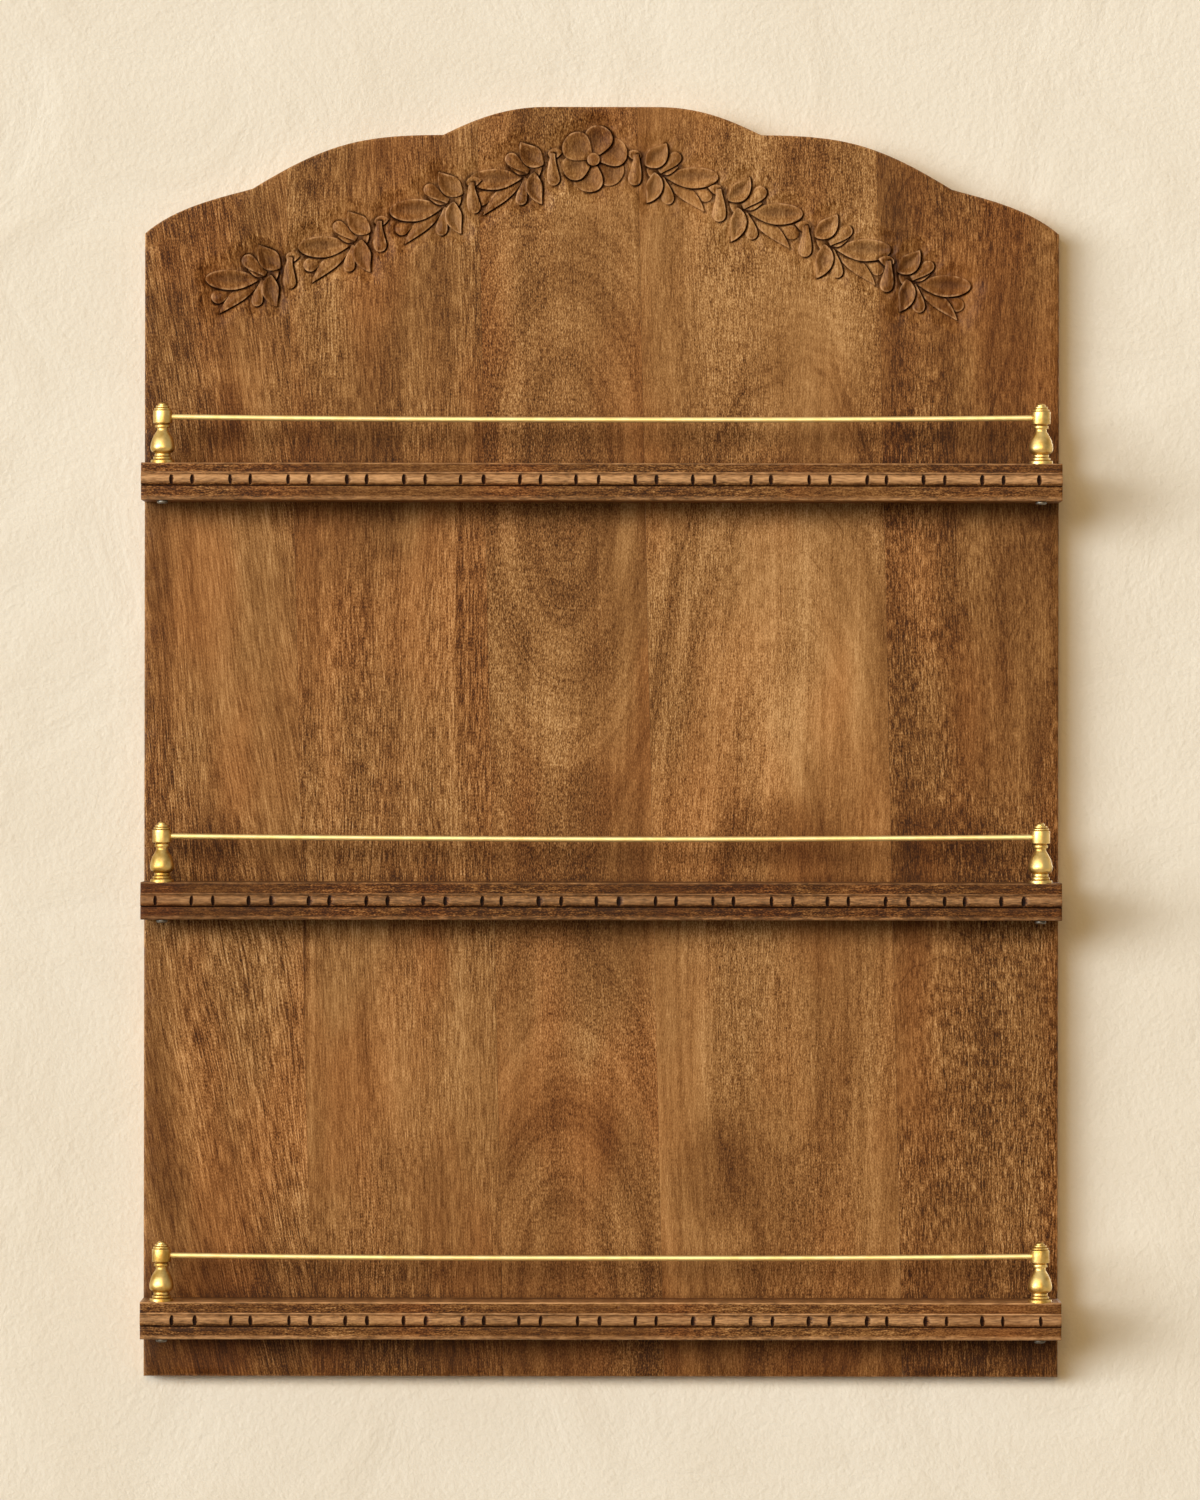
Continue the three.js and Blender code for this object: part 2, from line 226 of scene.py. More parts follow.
def curve(points, steps):                    # a cubic curve from its four points
    share = np.linspace(0, 1, steps + 1)[:, None]
    start, second, third, end = [np.array(point, float) for point in points]
    near, far = (1 - share) ** 3 * start, share ** 3 * end
    return near + 3 * (1 - share) ** 2 * share * second + 3 * (1 - share) * share ** 2 * third + far


def inside(outline, x, z):                   # which points lie in a closed outline
    ax, az = outline[:, 0][None], outline[:, 1][None]
    bx, bz = np.roll(ax, -1), np.roll(az, -1)
    spans = (az > z[:, None]) != (bz > z[:, None])
    rise = np.where(bz == az, 1, bz - az)
    crossed = x[:, None] < (bx - ax) * (z[:, None] - az) / rise + ax
    return np.logical_xor.reduce(spans & crossed, axis=1)


def distanceTo(outline, x, z, closed=True):  # from points to the nearest stretch of an outline
    starts = outline if closed else outline[:-1]
    runs = (np.roll(outline, -1, axis=0) if closed else outline[1:]) - starts
    reach = np.maximum((runs ** 2).sum(1), 1e-12)
    best = np.full(len(x), np.inf)
    for first in range(0, len(x), 4000):
        part = slice(first, first + 4000)
        offX = x[part, None] - starts[None, :, 0]
        offZ = z[part, None] - starts[None, :, 1]
        share = np.clip((offX * runs[:, 0] + offZ * runs[:, 1]) / reach, 0, 1)
        gap = (offX - share * runs[:, 0]) ** 2 + (offZ - share * runs[:, 1]) ** 2
        best[part] = np.sqrt(gap.min(1))
    return best


def triangulate(loop, holes, inner):         # fills a loop, round its holes and through inner points
    points = [Vector(point) / mm for point in loop]
    edges = []
    for hole in holes:
        start = len(points)
        points += [Vector(point) / mm for point in hole]
        edges += [(start + i, start + (i + 1) % len(hole)) for i in range(len(hole))]
    points += [Vector(point) / mm for point in inner]
    made = geometry.delaunay_2d_cdt(points, edges, [list(range(len(loop)))], 1, 1e-4)
    flat = np.array([tuple(point) for point in made[0]]) * mm
    faces = np.array(made[2])
    middles = flat[faces].mean(1)
    keep = np.ones(len(faces), bool)
    for hole in holes:
        keep &= ~inside(np.array(hole), middles[:, 0], middles[:, 1])
    return flat, faces[keep]


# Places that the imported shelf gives

boardNames = sorted(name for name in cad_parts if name.startswith("back_board_"))
backLow = np.min([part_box(name)[0] for name in boardNames], axis=0)
backHigh = np.max([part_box(name)[1] for name in boardNames], axis=0)
halfWidth = float(backHigh[0])
crownLevel = float(backHigh[2])
footLevel = float(backLow[2])
boardFront = float(backLow[1])


# The back: its outline

back = {
    "seamShares": (-0.662, -0.243, 0.107, 0.629),  # glue lines, of the half width
    "seamTilt": 0.0227,
    "glueLine": 0.1 * mm,
    "cornerDrop": 91.6 * mm,
    "dipDrop": 59.3 * mm,
    "cuspDrop": 20.3 * mm,
    "dipShare": 0.765,
    "cuspShare": 0.348,
    "crownFlatShare": 0.12,
    "lobes": (                               # slope leaving and coming, and how far along each holds
        (0.88, 0.28, 0.285, 0.285),
        (0.62, 0, 0.39, 0.42),
        (0.5, 0, 0.31, 0.4),
    ),
    "lobeSteps": 26,
    "sideSteps": 120,
    "arris": 1.5 * mm,                       # rounding of the front edge
    "arrisRings": (0.28, 0.65, 1.3),         # rows of points along it, as shares of the rounding
    "edgeWear": 0.3,
    "holeClear": 8 * mm,                     # no inner points this near a hole's middle
}


def lobe(outer, inner, slopeOuter, slopeInner, reachOuter, reachInner):
    run = outer[0] - inner[0]
    leaving = (outer[0] - reachOuter * run, outer[1] + slopeOuter * reachOuter * run)
    coming = (inner[0] + reachInner * run, inner[1] - slopeInner * reachInner * run)
    return curve((outer, leaving, coming, inner), back["lobeSteps"])


def topOutline():                            # from the right corner to the left one
    crownHalf = back["crownFlatShare"] * halfWidth
    ends = (
        (halfWidth, crownLevel - back["cornerDrop"]),
        (back["dipShare"] * halfWidth, crownLevel - back["dipDrop"]),
        (back["cuspShare"] * halfWidth, crownLevel - back["cuspDrop"]),
        (crownHalf, crownLevel),
    )
    lobes = [lobe(*pair, *shape) for pair, shape in zip(zip(ends, ends[1:]), back["lobes"])]
    right = np.vstack([lobes[0][:-1], lobes[1][:-1], lobes[2]])
    crownMiddle = np.column_stack([np.linspace(0.9, -0.9, 20) * crownHalf, np.full(20, crownLevel)])
    left = right[::-1] * (-1, 1)
    return np.vstack([right, crownMiddle, left])


topEdge = topOutline()


def topAt(x):
    return np.interp(x, topEdge[::-1, 0], topEdge[::-1, 1])


def backOutline():                           # the whole back, anticlockwise from the lower left
    steps = back["sideSteps"]
    base = np.column_stack([np.linspace(-halfWidth, halfWidth, steps), np.full(steps, footLevel)])
    side = np.linspace(footLevel, topEdge[0, 1], steps)[1:-1]
    right = np.column_stack([np.full(len(side), halfWidth), side])
    return np.vstack([base, right, topEdge, right[::-1] * (-1, 1)])


wholeOutline = backOutline()


def seamAt(number, level):
    if number == 0:
        return level * 0 - halfWidth
    if number > len(back["seamShares"]):
        return level * 0 + halfWidth
    return back["seamShares"][number - 1] * halfWidth - level * back["seamTilt"]


# The garland: sizes in millimetres from each sprig's joint, drawn for the right side

garland = {
    "sprigs": {
        "right": ((39.1, 409.5), (99.2, 384.2), (161.7, 357.9), (220.8, 332.8)),
        "left": ((-50.7, 409.4), (-108.6, 388.1), (-174.9, 360.7), (-240.0, 335.3)),
    },
    "flower": (-6.3, 419.3),
    "groundDepth": 2.4,                      # of the carved ground beside the leaves
    "groundReach": 11,                       # how far it runs out to the flat board
    "outlineStep": 0.6,
    "creaseReach": 1.9,                      # of the dark stain and painted shadow that lie at the foot of each cut
    "cutRun": 2.6,                           # the ground drops further this near a leaf's high side
    "cutDepth": 2.0,
    "pocketReach": 5.0,                      # ground with leaves this near on two sides gets painted shade
    "pocketShade": 0.78,
    # leaf edges: real wear with a painted rim highlight
    "rimWearAndSheen": 0.92,
    # painted shade inside each dish and at each leaf's base
    "dishShade": 0.5,
    "tilt": 1.3,                             # how much lower each leaf's upper left side lies
    "highSide": (0.8, -0.6),                 # the way that the high sides face
    "wallRun": 0.13,                         # half the run of the cut wall round each leaf
    "rimRound": 0.14,                        # how far each leaf's edge is rounded down
    "toolMarks": (                           # in the leaves: depth, size, stretch and seed
        (0.12, 2.6, 1.0, 40),
        (0.08, 1.1, 0.4, 90),
    ),
    "roughGround": (                         # beside them: depth, size and seed
        (0.22, 3.1, 7),
        (0.14, 1.5, 8),
    ),
    "lowest": 285,                           # nothing is carved below this
    "band": (300, 440),                      # the levels between which it crosses the glue lines
    "grids": (                               # step of the face's points, from and to how far off a leaf
        (0.8, 0.5, 5),
        (1.6, 5, 16),
    ),
    "plainStep": 9,                          # and beyond that
    "parts": (
        # lowest first: kind, base, tip or end of the round, half width, bend, rim depth, dish, sink
        ("leaf", (-7, 4), (9, -7), 5.0, 0, 1.0, 0.2, 0.0),
        ("berry", (11, -7.5), (34.9, -18.3), 4.9, 1.2, 1.6, -1.4, 0.9),
        ("leaf", (7, -6), (34.3, -29.4), 5.0, 2.0, 1.2, -1.1, 1.0),
        ("blunt", (4, -2), (44.4, -4.4), 7.8, -1.2, 0.2, 1.7, 1.0),
        ("leaf", (2, 0), (15.5, 3.6), 3.4, 0.3, 1.2, -0.6, 0.8),
        ("drop", (2, 1), (14.2, 10.4), 4.6, -0.8, 1.5, -1.2, 0.8),
        ("leaf", (-8.2, 6), (8.3, 21.6), 7.2, -1.9, 0.0, 2.5, 0.3),
        ("drop", (3.5, -3.5), (6.6, -18.6), 4.3, 0.9, 1.3, -1.2, 0.9),
        ("leaf", (-1.8, 0.5), (-7.2, -22.6), 6.3, 2.8, 0.1, 2.0, 0.5),
        ("blunt", (-22, 15.2), (-11, 12.4), 3.7, 0.4, 1.3, -0.9, 0.2),
        ("drop", (-14.6, 14), (-16.0, -3.9), 4.7, 0.9, 1.2, -1.1, 0.3),
    ),
    "petals": (
        # lowest first: bearing in degrees, rim depth, half width
        (-36, 1.5, 10.6), (19, 1.0, 10.4), (-105, 1.0, 10.8),
        (75, 0.5, 10.2), (-157, 0.5, 9.6), (143, 0.1, 10.8),
    ),
    "petalLength": 24.5,
    "petalDish": (1.7, 1.5),                 # dish and sink
    "button": (4.6, 1.3, -1.3, 0),           # radius, rim depth, dish and sink
}


def halfWidthAt(kind, share, length, width):
    if kind == "leaf":
        return width * np.sin(np.pi * share ** 0.82) ** 0.92
    if kind == "round":
        return width * halfRound(share)
    if kind in ("petal", "blunt"):
        widest = 0.64 if kind == "petal" else 0.56
        opening = np.sin(np.pi / 2 * np.clip(share / widest, 0, 1)) ** 1.15
        closing = np.sqrt(np.clip(1 - (np.clip(share - widest, 0, 1) / (1 - widest)) ** 2, 0, 1))
        return width * np.where(share < widest, opening, closing)
    centre = 1 - width / length              # drops and berries end in a round
    closing = np.sqrt(np.clip(width ** 2 - ((share - centre) * length) ** 2, 0, None))
    swell = 1.0 if kind == "drop" else 0.42
    neck = width * (0.42 if kind == "drop" else 0.3)
    growing = neck + (width - neck) * easeStep(share, centre * (1 - swell), centre)
    return np.where(share < centre, growing, closing)


def motif(kind, base, tip, width, bend, rim, dish, sink):
    base, tip = np.array(base) * mm, np.array(tip) * mm
    width, bend = width * mm, bend * mm
    along = tip - base
    if kind in ("drop", "berry"):            # these are given to the middle of their round end
        tip = tip + along / np.linalg.norm(along) * width
        along = tip - base
    length = np.linalg.norm(along)
    sideways = np.array((-along[1], along[0])) / length
    share = (1 - np.cos(np.linspace(0, np.pi, 41))) / 2
    spine = base + share[:, None] * along + (4 * share * (1 - share) * bend)[:, None] * sideways
    tangents = np.gradient(spine, axis=0)
    tangents /= np.linalg.norm(tangents, axis=1)[:, None]
    normals = np.column_stack([-tangents[:, 1], tangents[:, 0]])
    reach = halfWidthAt(kind, share, length, width)[:, None]
    outline = np.vstack([(spine - normals * reach)[::-1], (spine + normals * reach)[1:-1]])
    outline = evenly(outline, garland["outlineStep"] * mm)
    return {"outline": outline, "spine": spine, "width": width, "rim": rim * mm, "dish": dish * mm,
            "sink": sink * mm, "low": outline.min(0), "high": outline.max(0)}


def evenly(outline, step):                   # a closed outline again with even steps, its start kept
    closed = np.vstack([outline, outline[:1]])
    lengths = np.linalg.norm(np.diff(closed, axis=0), axis=1)
    closed = closed[np.append(True, lengths > 1e-7)]
    lengths = np.linalg.norm(np.diff(closed, axis=0), axis=1)
    total = np.append(0, np.cumsum(lengths))
    count = max(12, int(total[-1] / step))
    at = np.linspace(0, total[-1], count + 1)[:-1]
    return np.column_stack([np.interp(at, total, closed[:, axis]) for axis in (0, 1)])


def sprigMotifs(joint, side):                # one sprig, mirrored on the left
    turn = math.radians(dice.uniform(-3, 3))
    size = dice.uniform(0.97, 1.04)
    made = []
    for kind, base, tip, width, bend, rim, dish, sink in garland["parts"]:
        shift = (dice.uniform(-0.7, 0.7), dice.uniform(-0.7, 0.7))
        ends = [placed(point, moved, turn, size, joint, side)
                for point, moved in ((base, (0, 0)), (tip, shift))]
        fullness = dice.uniform(0.94, 1.05)
        made.append(motif(kind, *ends, width * fullness, bend * side, rim, dish, sink))
    return made


def placed(point, shift, turn, size, joint, side):
    x, z = rotated((point[0] + shift[0]) * size, (point[1] + shift[1]) * size, turn)
    return (joint[0] + side * x, joint[1] + z)


def flowerMotifs():
    x, z = garland["flower"]
    made = []
    for bearing, rim, width in garland["petals"]:
        angle = math.radians(bearing)
        length = garland["petalLength"] * dice.uniform(0.95, 1.03)
        tip = (x + length * math.cos(angle), z + length * math.sin(angle))
        bend = dice.uniform(-0.8, 0.8)
        made.append(motif("petal", (x, z), tip, width, bend, rim, *garland["petalDish"]))
    radius, *button = garland["button"]
    made.append(motif("round", (x - radius, z), (x + radius, z), radius, 0, *button))
    return made


def allMotifs():                             # in the order of carving, lowest first
    made = []
    for hand, side in (("right", 1), ("left", -1)):
        for joint in garland["sprigs"][hand]:
            made += sprigMotifs(joint, side)
    return made + flowerMotifs()


motifs = allMotifs()


def near(shape, x, z, margin):
    lowX, lowZ = shape["low"] - margin
    highX, highZ = shape["high"] + margin
    return np.nonzero((x > lowX) & (x < highX) & (z > lowZ) & (z < highZ))[0]


def garlandDistance(x, z):                   # to the nearest outline of the garland
    best = np.full(len(x), 60 * mm)
    for shape in motifs:
        found = near(shape, x, z, 26 * mm)
        if len(found):
            gap = distanceTo(shape["outline"], x[found], z[found])
            best[found] = np.minimum(best[found], gap)
    return best


def leafDepth(shape, x, z, number):          # below the board's face, for points in one shape
    edge = distanceTo(shape["outline"], x, z)
    spine = shape["spine"]
    points = np.stack([x, z], 1)
    nearest = np.linalg.norm(points[:, None] - spine[None], axis=2).argmin(1)
    share = nearest / (len(spine) - 1)
    lean = ((points - spine[nearest]) @ garland["highSide"]) / shape["width"]
    bowl = easeStep(edge, 0.15 * mm, shape["width"] * 0.8)
    depth = shape["rim"] + shape["dish"] * bowl + shape["sink"] * (1 - share) ** 2.2
    depth += garland["tilt"] * mm * (0.5 - 0.5 * np.clip(lean, -1, 1)) ** 1.3
    depth += garland["rimRound"] * mm * (1 - easeStep(edge, 0, 0.4 * mm))
    for most, size, stretch, seed in garland["toolMarks"]:
        depth += most * mm * softNoise(x * stretch, z, size * mm, seed + number)
    # painted shade: hollow marks the inside of each dish and the base of each leaf
    hollow = np.clip(bowl * (shape["dish"] > 0) + 0.9 * easeStep(share, 0.32, 0.05), 0, 1.3)
    return depth, hollow, lean


def carvedDepth(x, z):                       # how far the face is cut back, its stain with painted shade, and its wear with painted rim highlight
    distance = garlandDistance(x, z)
    reach = garland["groundReach"] * mm * (1 + 0.35 * softNoise(x, z, 22 * mm, 5))
    fade = 1 - easeStep(distance, 0.5 * mm, reach)
    depth = garland["groundDepth"] * mm * fade * (1 + 0.2 * softNoise(x, z, 9 * mm, 6))
    rough = sum(most * softNoise(x, z, size * mm, seed) for most, size, seed in garland["roughGround"])
    depth += rough * mm * easeStep(fade, 0.05, 0.7)
    stainAndShade, worn, carved = np.zeros(len(x)), np.zeros(len(x)), easeStep(fade, 0.1, 0.9) * 0.6
    crowd = np.zeros(len(x))
    for number, shape in enumerate(motifs):
        found = near(shape, x, z, garland["pocketReach"] * mm)
        if not len(found):
            continue
        gap = distanceTo(shape["outline"], x[found], z[found])
        covered = inside(shape["outline"], x[found], z[found])
        level, hollow, lean = leafDepth(shape, x[found], z[found], number)
        under = easeStep(lean, -0.4, 0.4)
        beside = 1 - easeStep(gap / (0.45 + 0.55 * under), 0.7 * mm, garland["creaseReach"] * mm)
        cut = 1 - easeStep(gap, 0.3 * mm, garland["cutRun"] * mm)
        deeper = np.maximum(depth[found], level + 0.25 * mm) + garland["cutDepth"] * mm * cut * under
        # painted shadow: the stain at each cut is heaviest on the leaf's lower right side, where its
        # shadow falls
        wall = 0.16 + 0.84 * under
        # painted shade in the dish, heavier on its upper left side
        hollow = garland["dishShade"] * hollow * (1.15 - under)
        stainAndShade[found] = np.where(covered, hollow, np.maximum(stainAndShade[found], beside * wall))
        close = 1 - easeStep(gap, 0.5 * mm, garland["pocketReach"] * mm)
        crowd[found] = np.where(covered, 0, crowd[found] + close)
        uneven = 0.35 + 0.65 * softNoise(x[found], z[found], 3 * mm, 9)
        # the rim is wear with a painted rim highlight
        rim = (1 - easeStep(gap, 0.3 * mm, 1.5 * mm)) * uneven
        worn[found] = np.where(covered, np.clip(rim, 0, 1) * garland["rimWearAndSheen"], worn[found])
        carved[found] = np.where(covered, 1, carved[found])
        depth[found] = np.where(covered, level, depth[found] + (deeper - depth[found]) * cut)
    # painted shade in the ground between crowded leaves
    stainAndShade = np.maximum(stainAndShade, garland["pocketShade"] * np.clip(crowd - 0.9, 0, 1))
    return np.maximum(depth, 0), stainAndShade, worn, carved


def arrisDepth(x, z):                        # the worn rounding of the front edge
    radius = back["arris"] * (1 + 0.25 * softNoise(x, z, 30 * mm, 9))
    gap = np.minimum(distanceTo(wholeOutline, x, z), radius)
    return radius - np.sqrt(np.maximum(radius ** 2 - (radius - gap) ** 2, 0))


def frontDepth(points):
    x, z = points[:, 0], points[:, 1]
    depth, stainAndShade, worn, carved = carvedDepth(x, z)
    edge = (halfWidth - np.abs(x) < 4 * mm) | (z - footLevel < 4 * mm) | (topAt(x) - z < 8 * mm)
    rounding = arrisDepth(x[edge], z[edge])
    worn[edge] = np.maximum(worn[edge], np.clip(rounding / (0.5 * mm), 0, 1) * back["edgeWear"])
    depth[edge] = np.maximum(depth[edge], rounding)
    return depth, np.column_stack([stainAndShade, worn, carved])


def offsetOutline(outline, distance):        # each point moved out along the outline's own normal
    run = np.roll(outline, -1, axis=0) - np.roll(outline, 1, axis=0)
    run /= np.maximum(np.linalg.norm(run, axis=1), 1e-9)[:, None]
    return outline + np.column_stack([run[:, 1], -run[:, 0]]) * distance


def ringPoints():                            # rows of points on both sides of each cut wall
    rows = []
    run = garland["wallRun"] * mm
    for number, shape in enumerate(motifs):
        outline = shape["outline"]
        area = np.cross(outline, np.roll(outline, -1, axis=0)).sum()
        way = 1 if area > 0 else -1
        for distance in (-0.5 * mm, -run, run):
            row = offsetOutline(outline, way * distance)
            gap = distanceTo(outline, *row.T)
            row = row[gap > abs(distance) * 0.8]
            for above in motifs[number + 1:]:
                if not len(row):
                    break
                if (above["low"] >= row.max(0)).any() or (above["high"] <= row.min(0)).any():
                    continue
                hidden = inside(above["outline"], *row.T)
                hidden |= distanceTo(above["outline"], *row.T) < 0.3 * mm
                row = row[~hidden]
            rows.append(row)
    points = np.vstack(rows)
    cells = np.round(points / (0.2 * mm)).astype(int)
    kept = np.sort(np.unique(cells, axis=0, return_index=True)[1])
    return points[kept]


def gridPoints(low, high, step, seed):       # staggered rows with a little disorder
    columns = np.arange(low[0], high[0], step)
    rows = np.arange(low[1], high[1], step * 0.87)
    x, z = np.meshgrid(columns, rows)
    x = x + (np.arange(len(rows)) % 2)[:, None] * step / 2
    loose = np.random.RandomState(seed).uniform(-0.18, 0.18, (2, x.size)) * step
    return np.column_stack([x.ravel() + loose[0], z.ravel() + loose[1]])


def facePoints():                            # all points inside the back's front face
    low, high = wholeOutline.min(0), wholeOutline.max(0)
    carvedLow = np.array((low[0], garland["lowest"] * mm))
    grids = [(*sizes, carvedLow) for sizes in garland["grids"]]
    grids.append((garland["plainStep"], garland["grids"][-1][2], 1000, low))
    sets = [ringPoints()]
    for step, nearest, furthest, start in grids:
        points = gridPoints(start, high, step * mm, 11)
        gap = garlandDistance(*points.T)
        points = points[(gap >= nearest * mm) & (gap < furthest * mm)]
        edge = distanceTo(wholeOutline, *points.T)
        clear = max(back["arris"] * 1.4, step * mm * 0.5)
        sets.append(points[(edge > clear) & inside(wholeOutline, *points.T)])
    for share in back["arrisRings"]:
        distance = share * back["arris"]
        ring = offsetOutline(evenly(wholeOutline, 3 * mm), -distance)
        edge = distanceTo(wholeOutline, *ring.T)
        sets.append(ring[(edge > distance * 0.85) & inside(wholeOutline, *ring.T)])
    return np.vstack(sets)


def boardLoop(number):                       # one board, anticlockwise from its lower left corner
    glue = back["glueLine"] / 2
    sides = []
    for seam, shift in ((number, glue), (number + 1, -glue)):
        outer = seam in (0, len(boardNames))
        shift = 0 if outer else shift
        top = crownLevel
        for _ in range(12):                  # where the glue line meets the top edge
            top = float(topAt(seamAt(seam, top) + shift))
        if outer:
            levels = np.arange(footLevel, top - 2 * mm, 4 * mm)
        else:                                # finer where it crosses the garland
            low, high = [level * mm for level in garland["band"]]
            levels = np.concatenate([
                np.arange(footLevel, low, 8 * mm),
                np.arange(low, high, 0.9 * mm),
                np.arange(high, crownLevel, 3 * mm),
            ])
            levels = levels[levels < top - 0.4 * mm]
        levels = np.append(levels, top)
        sides.append(np.column_stack([seamAt(seam, levels) + shift, levels]))
    left, right = sides
    base = np.linspace(left[0, 0], right[0, 0], 40)[1:-1]
    between = (topEdge[:, 0] < right[-1, 0] - 0.4 * mm) & (topEdge[:, 0] > left[-1, 0] + 0.4 * mm)
    base = np.column_stack([base, np.full(len(base), footLevel)])
    return np.vstack([left[:1], base, right, topEdge[between], left[:0:-1]])


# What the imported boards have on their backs: screw holes, recesses and pockets

def edgeLoops(faces):                        # closed runs of edges that only one face has
    edges = {(face[i], face[(i + 1) % 3]) for face in faces for i in range(3)}
    after = {start: end for start, end in edges if (end, start) not in edges}
    loops = []
    while after:
        start, at = after.popitem()
        loop = [start]
        while at != start:
            loop.append(at)
            at = after.pop(at)
        loops.append(loop)
    return loops


def cutsOf(name):                            # hole loops in the front and the back, and their walls
    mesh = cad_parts[name].data
    mesh.calc_loop_triangles()
    keys, points, numbers = {}, [], []
    for vertex in mesh.vertices:
        key = tuple(round(value / mm, 3) for value in vertex.co)
        if key not in keys:
            keys[key] = len(points)
            points.append(tuple(vertex.co))
        numbers.append(keys[key])
    faces = [tuple(numbers[i] for i in part.vertices) for part in mesh.loop_triangles]
    faces = [face for face in faces if len(set(face)) == 3]
    points = np.array(points)

    def flatAt(level):
        return [face for face in faces if all(abs(points[i][1] - level) < 0.002 * mm for i in face)]

    def widest(loop):
        return np.ptp(points[loop][:, 0]) + np.ptp(points[loop][:, 2])

    front, behind = flatAt(boardFront), flatAt(0)
    frontLoops, backLoops = [sorted(edgeLoops(part), key=widest) for part in (front, behind)]
    outer = set(frontLoops.pop()) | set(backLoops.pop())
    walls = [face for face in faces if face not in front and face not in behind]
    walls = [face for face in walls if not outer & set(face)]
    flat = [[points[loop][:, (0, 2)] for loop in loops] for loops in (frontLoops, backLoops)]
    return flat[0], flat[1], points, walls


def buildBoard(number, material, inner):
    name = boardNames[number]
    loop = boardLoop(number)
    frontHoles, backHoles, cadPoints, walls = cutsOf(name)
    held = inner[inside(loop, *inner.T)]
    held = held[distanceTo(loop, *held.T) > 0.28 * mm]
    for hole in frontHoles:
        middle = hole.mean(0)
        held = held[np.linalg.norm(held - middle, axis=1) > back["holeClear"]]
    flat, faces = triangulate(loop, frontHoles, held)
    depth, shares = frontDepth(flat)
    points = [np.column_stack([flat[:, 0], boardFront + depth, flat[:, 1]])]
    polygons = [tuple(face) for face in faces]
    shares = [shares]
    start = len(flat)

    rimDepth, rimShares = frontDepth(loop)
    rim = np.column_stack([loop[:, 0], boardFront + rimDepth, loop[:, 1]])
    behind = np.column_stack([loop[:, 0], np.zeros(len(loop)), loop[:, 1]])
    points += [rim, behind]
    shares += [rimShares, np.zeros((len(loop), 3))]
    polygons += bandFaces(start, len(loop), True)
    start += 2 * len(loop)

    flat, faces = triangulate(loop, backHoles, [])
    points.append(np.column_stack([flat[:, 0], np.zeros(len(flat)), flat[:, 1]]))
    polygons += [tuple(start + i for i in face[::-1]) for face in faces]
    shares.append(np.zeros((len(flat), 3)))
    start += len(flat)

    points.append(cadPoints)
    polygons += [tuple(start + i for i in face) for face in walls]
    shares.append(np.zeros((len(cadPoints), 3)))

    points, polygons, shares = welded(np.vstack(points), polygons, np.concatenate(shares))
    piece = addPiece("board_" + str(number + 1), points, polygons, material, name, 52)
    for column, share in enumerate(("crease", "worn", "carved")):
        addShare(piece, share, shares[:, column])
    return piece


def welded(points, polygons, shares):        # points at one place become one, unused ones go
    keys = np.round(points / (0.002 * mm)).astype(np.int64)
    _, first, number = np.unique(keys, axis=0, return_index=True, return_inverse=True)
    number = number.ravel()
    joined = []
    for polygon in polygons:
        corners = [int(number[i]) for i in polygon]
        corners = [corner for i, corner in enumerate(corners) if corner != corners[i - 1]]
        if len(corners) > 2:
            joined.append(corners)
    used = sorted({corner for polygon in joined for corner in polygon})
    renumbered = {old: new for new, old in enumerate(used)}
    joined = [[renumbered[corner] for corner in polygon] for polygon in joined]
    return points[first][used], joined, shares[first][used]


# The shelves: a moulded front edge with notches cut in its bead

shelf = {
    "bottomRound": 1.3 * mm,
    "topRound": 0.9 * mm,
    "endRound": 0.5 * mm,
    "flatRows": (14 * mm, 5 * mm),           # rows of points above and below, this far behind the face
    "lowerBandShare": 0.335,                 # heights from the underside, of the thickness
    "quirkShare": 0.026,
    "beadShare": 0.295,
    "filletGrooveShare": 0.012,
    "filletShare": 0.04,
    "quirkDepth": 1.2 * mm,
    "beadProud": 3.0 * mm,
    "filletProud": 1.2 * mm,
    "beadLip": 0.8 * mm,                     # how proud the bead still is where the fillet starts
    "mouldingLift": {"upper": 1.2 * mm, "middle": 0.0, "lower": 0.0},
    "firstNotch": {"upper": 22.0 * mm, "middle": 10.3 * mm, "lower": 22.9 * mm},
    "pairFirst": {"upper": True, "middle": False, "lower": True},
    "notchPairStep": 15.1 * mm,
    "notchGapStep": 26.2 * mm,
    "notchEndMargin": 6 * mm,
    "notchDepth": 2.3 * mm,
    "notchFloor": 2.2 * mm,                  # width of the dark cut at mid-height
    "notchSlope": 1.3 * mm,                  # run of the lit facet to its right
    "nicks": {"upper": (), "middle": (), "lower": (-21.5 * mm, -2.6 * mm, 12.0 * mm)},
    "nickLevel": 0.885,                      # of the thickness
    "nickReach": 1.3 * mm,
    "lost": {                                # the most that wear takes off
        "arris": 0.25 * mm, "arrisHeight": 0.2 * mm, "fillet": 0.35 * mm,
        "band": 0.12 * mm, "nick": 0.8 * mm,
    },
    "wearLength": 14 * mm,
    "fineWearLength": 4 * mm,
    "seed": {"upper": 20, "middle": 30, "lower": 40},
    "worn": {                                # how far the stain is rubbed off, with painted highlight where edges and beads catch the light
        "upper": {"topArris": 0.5, "fillet": 0.7, "bead": 0.84, "lowArris": 0.45, "top": 0.0},
        "middle": {"topArris": 0.3, "fillet": 0.4, "bead": 0.42, "lowArris": 0.3, "top": 0.2},
        "lower": {"topArris": 0.9, "fillet": 0.9, "bead": 0.6, "lowArris": 0.6, "top": 0.75},
    },
}


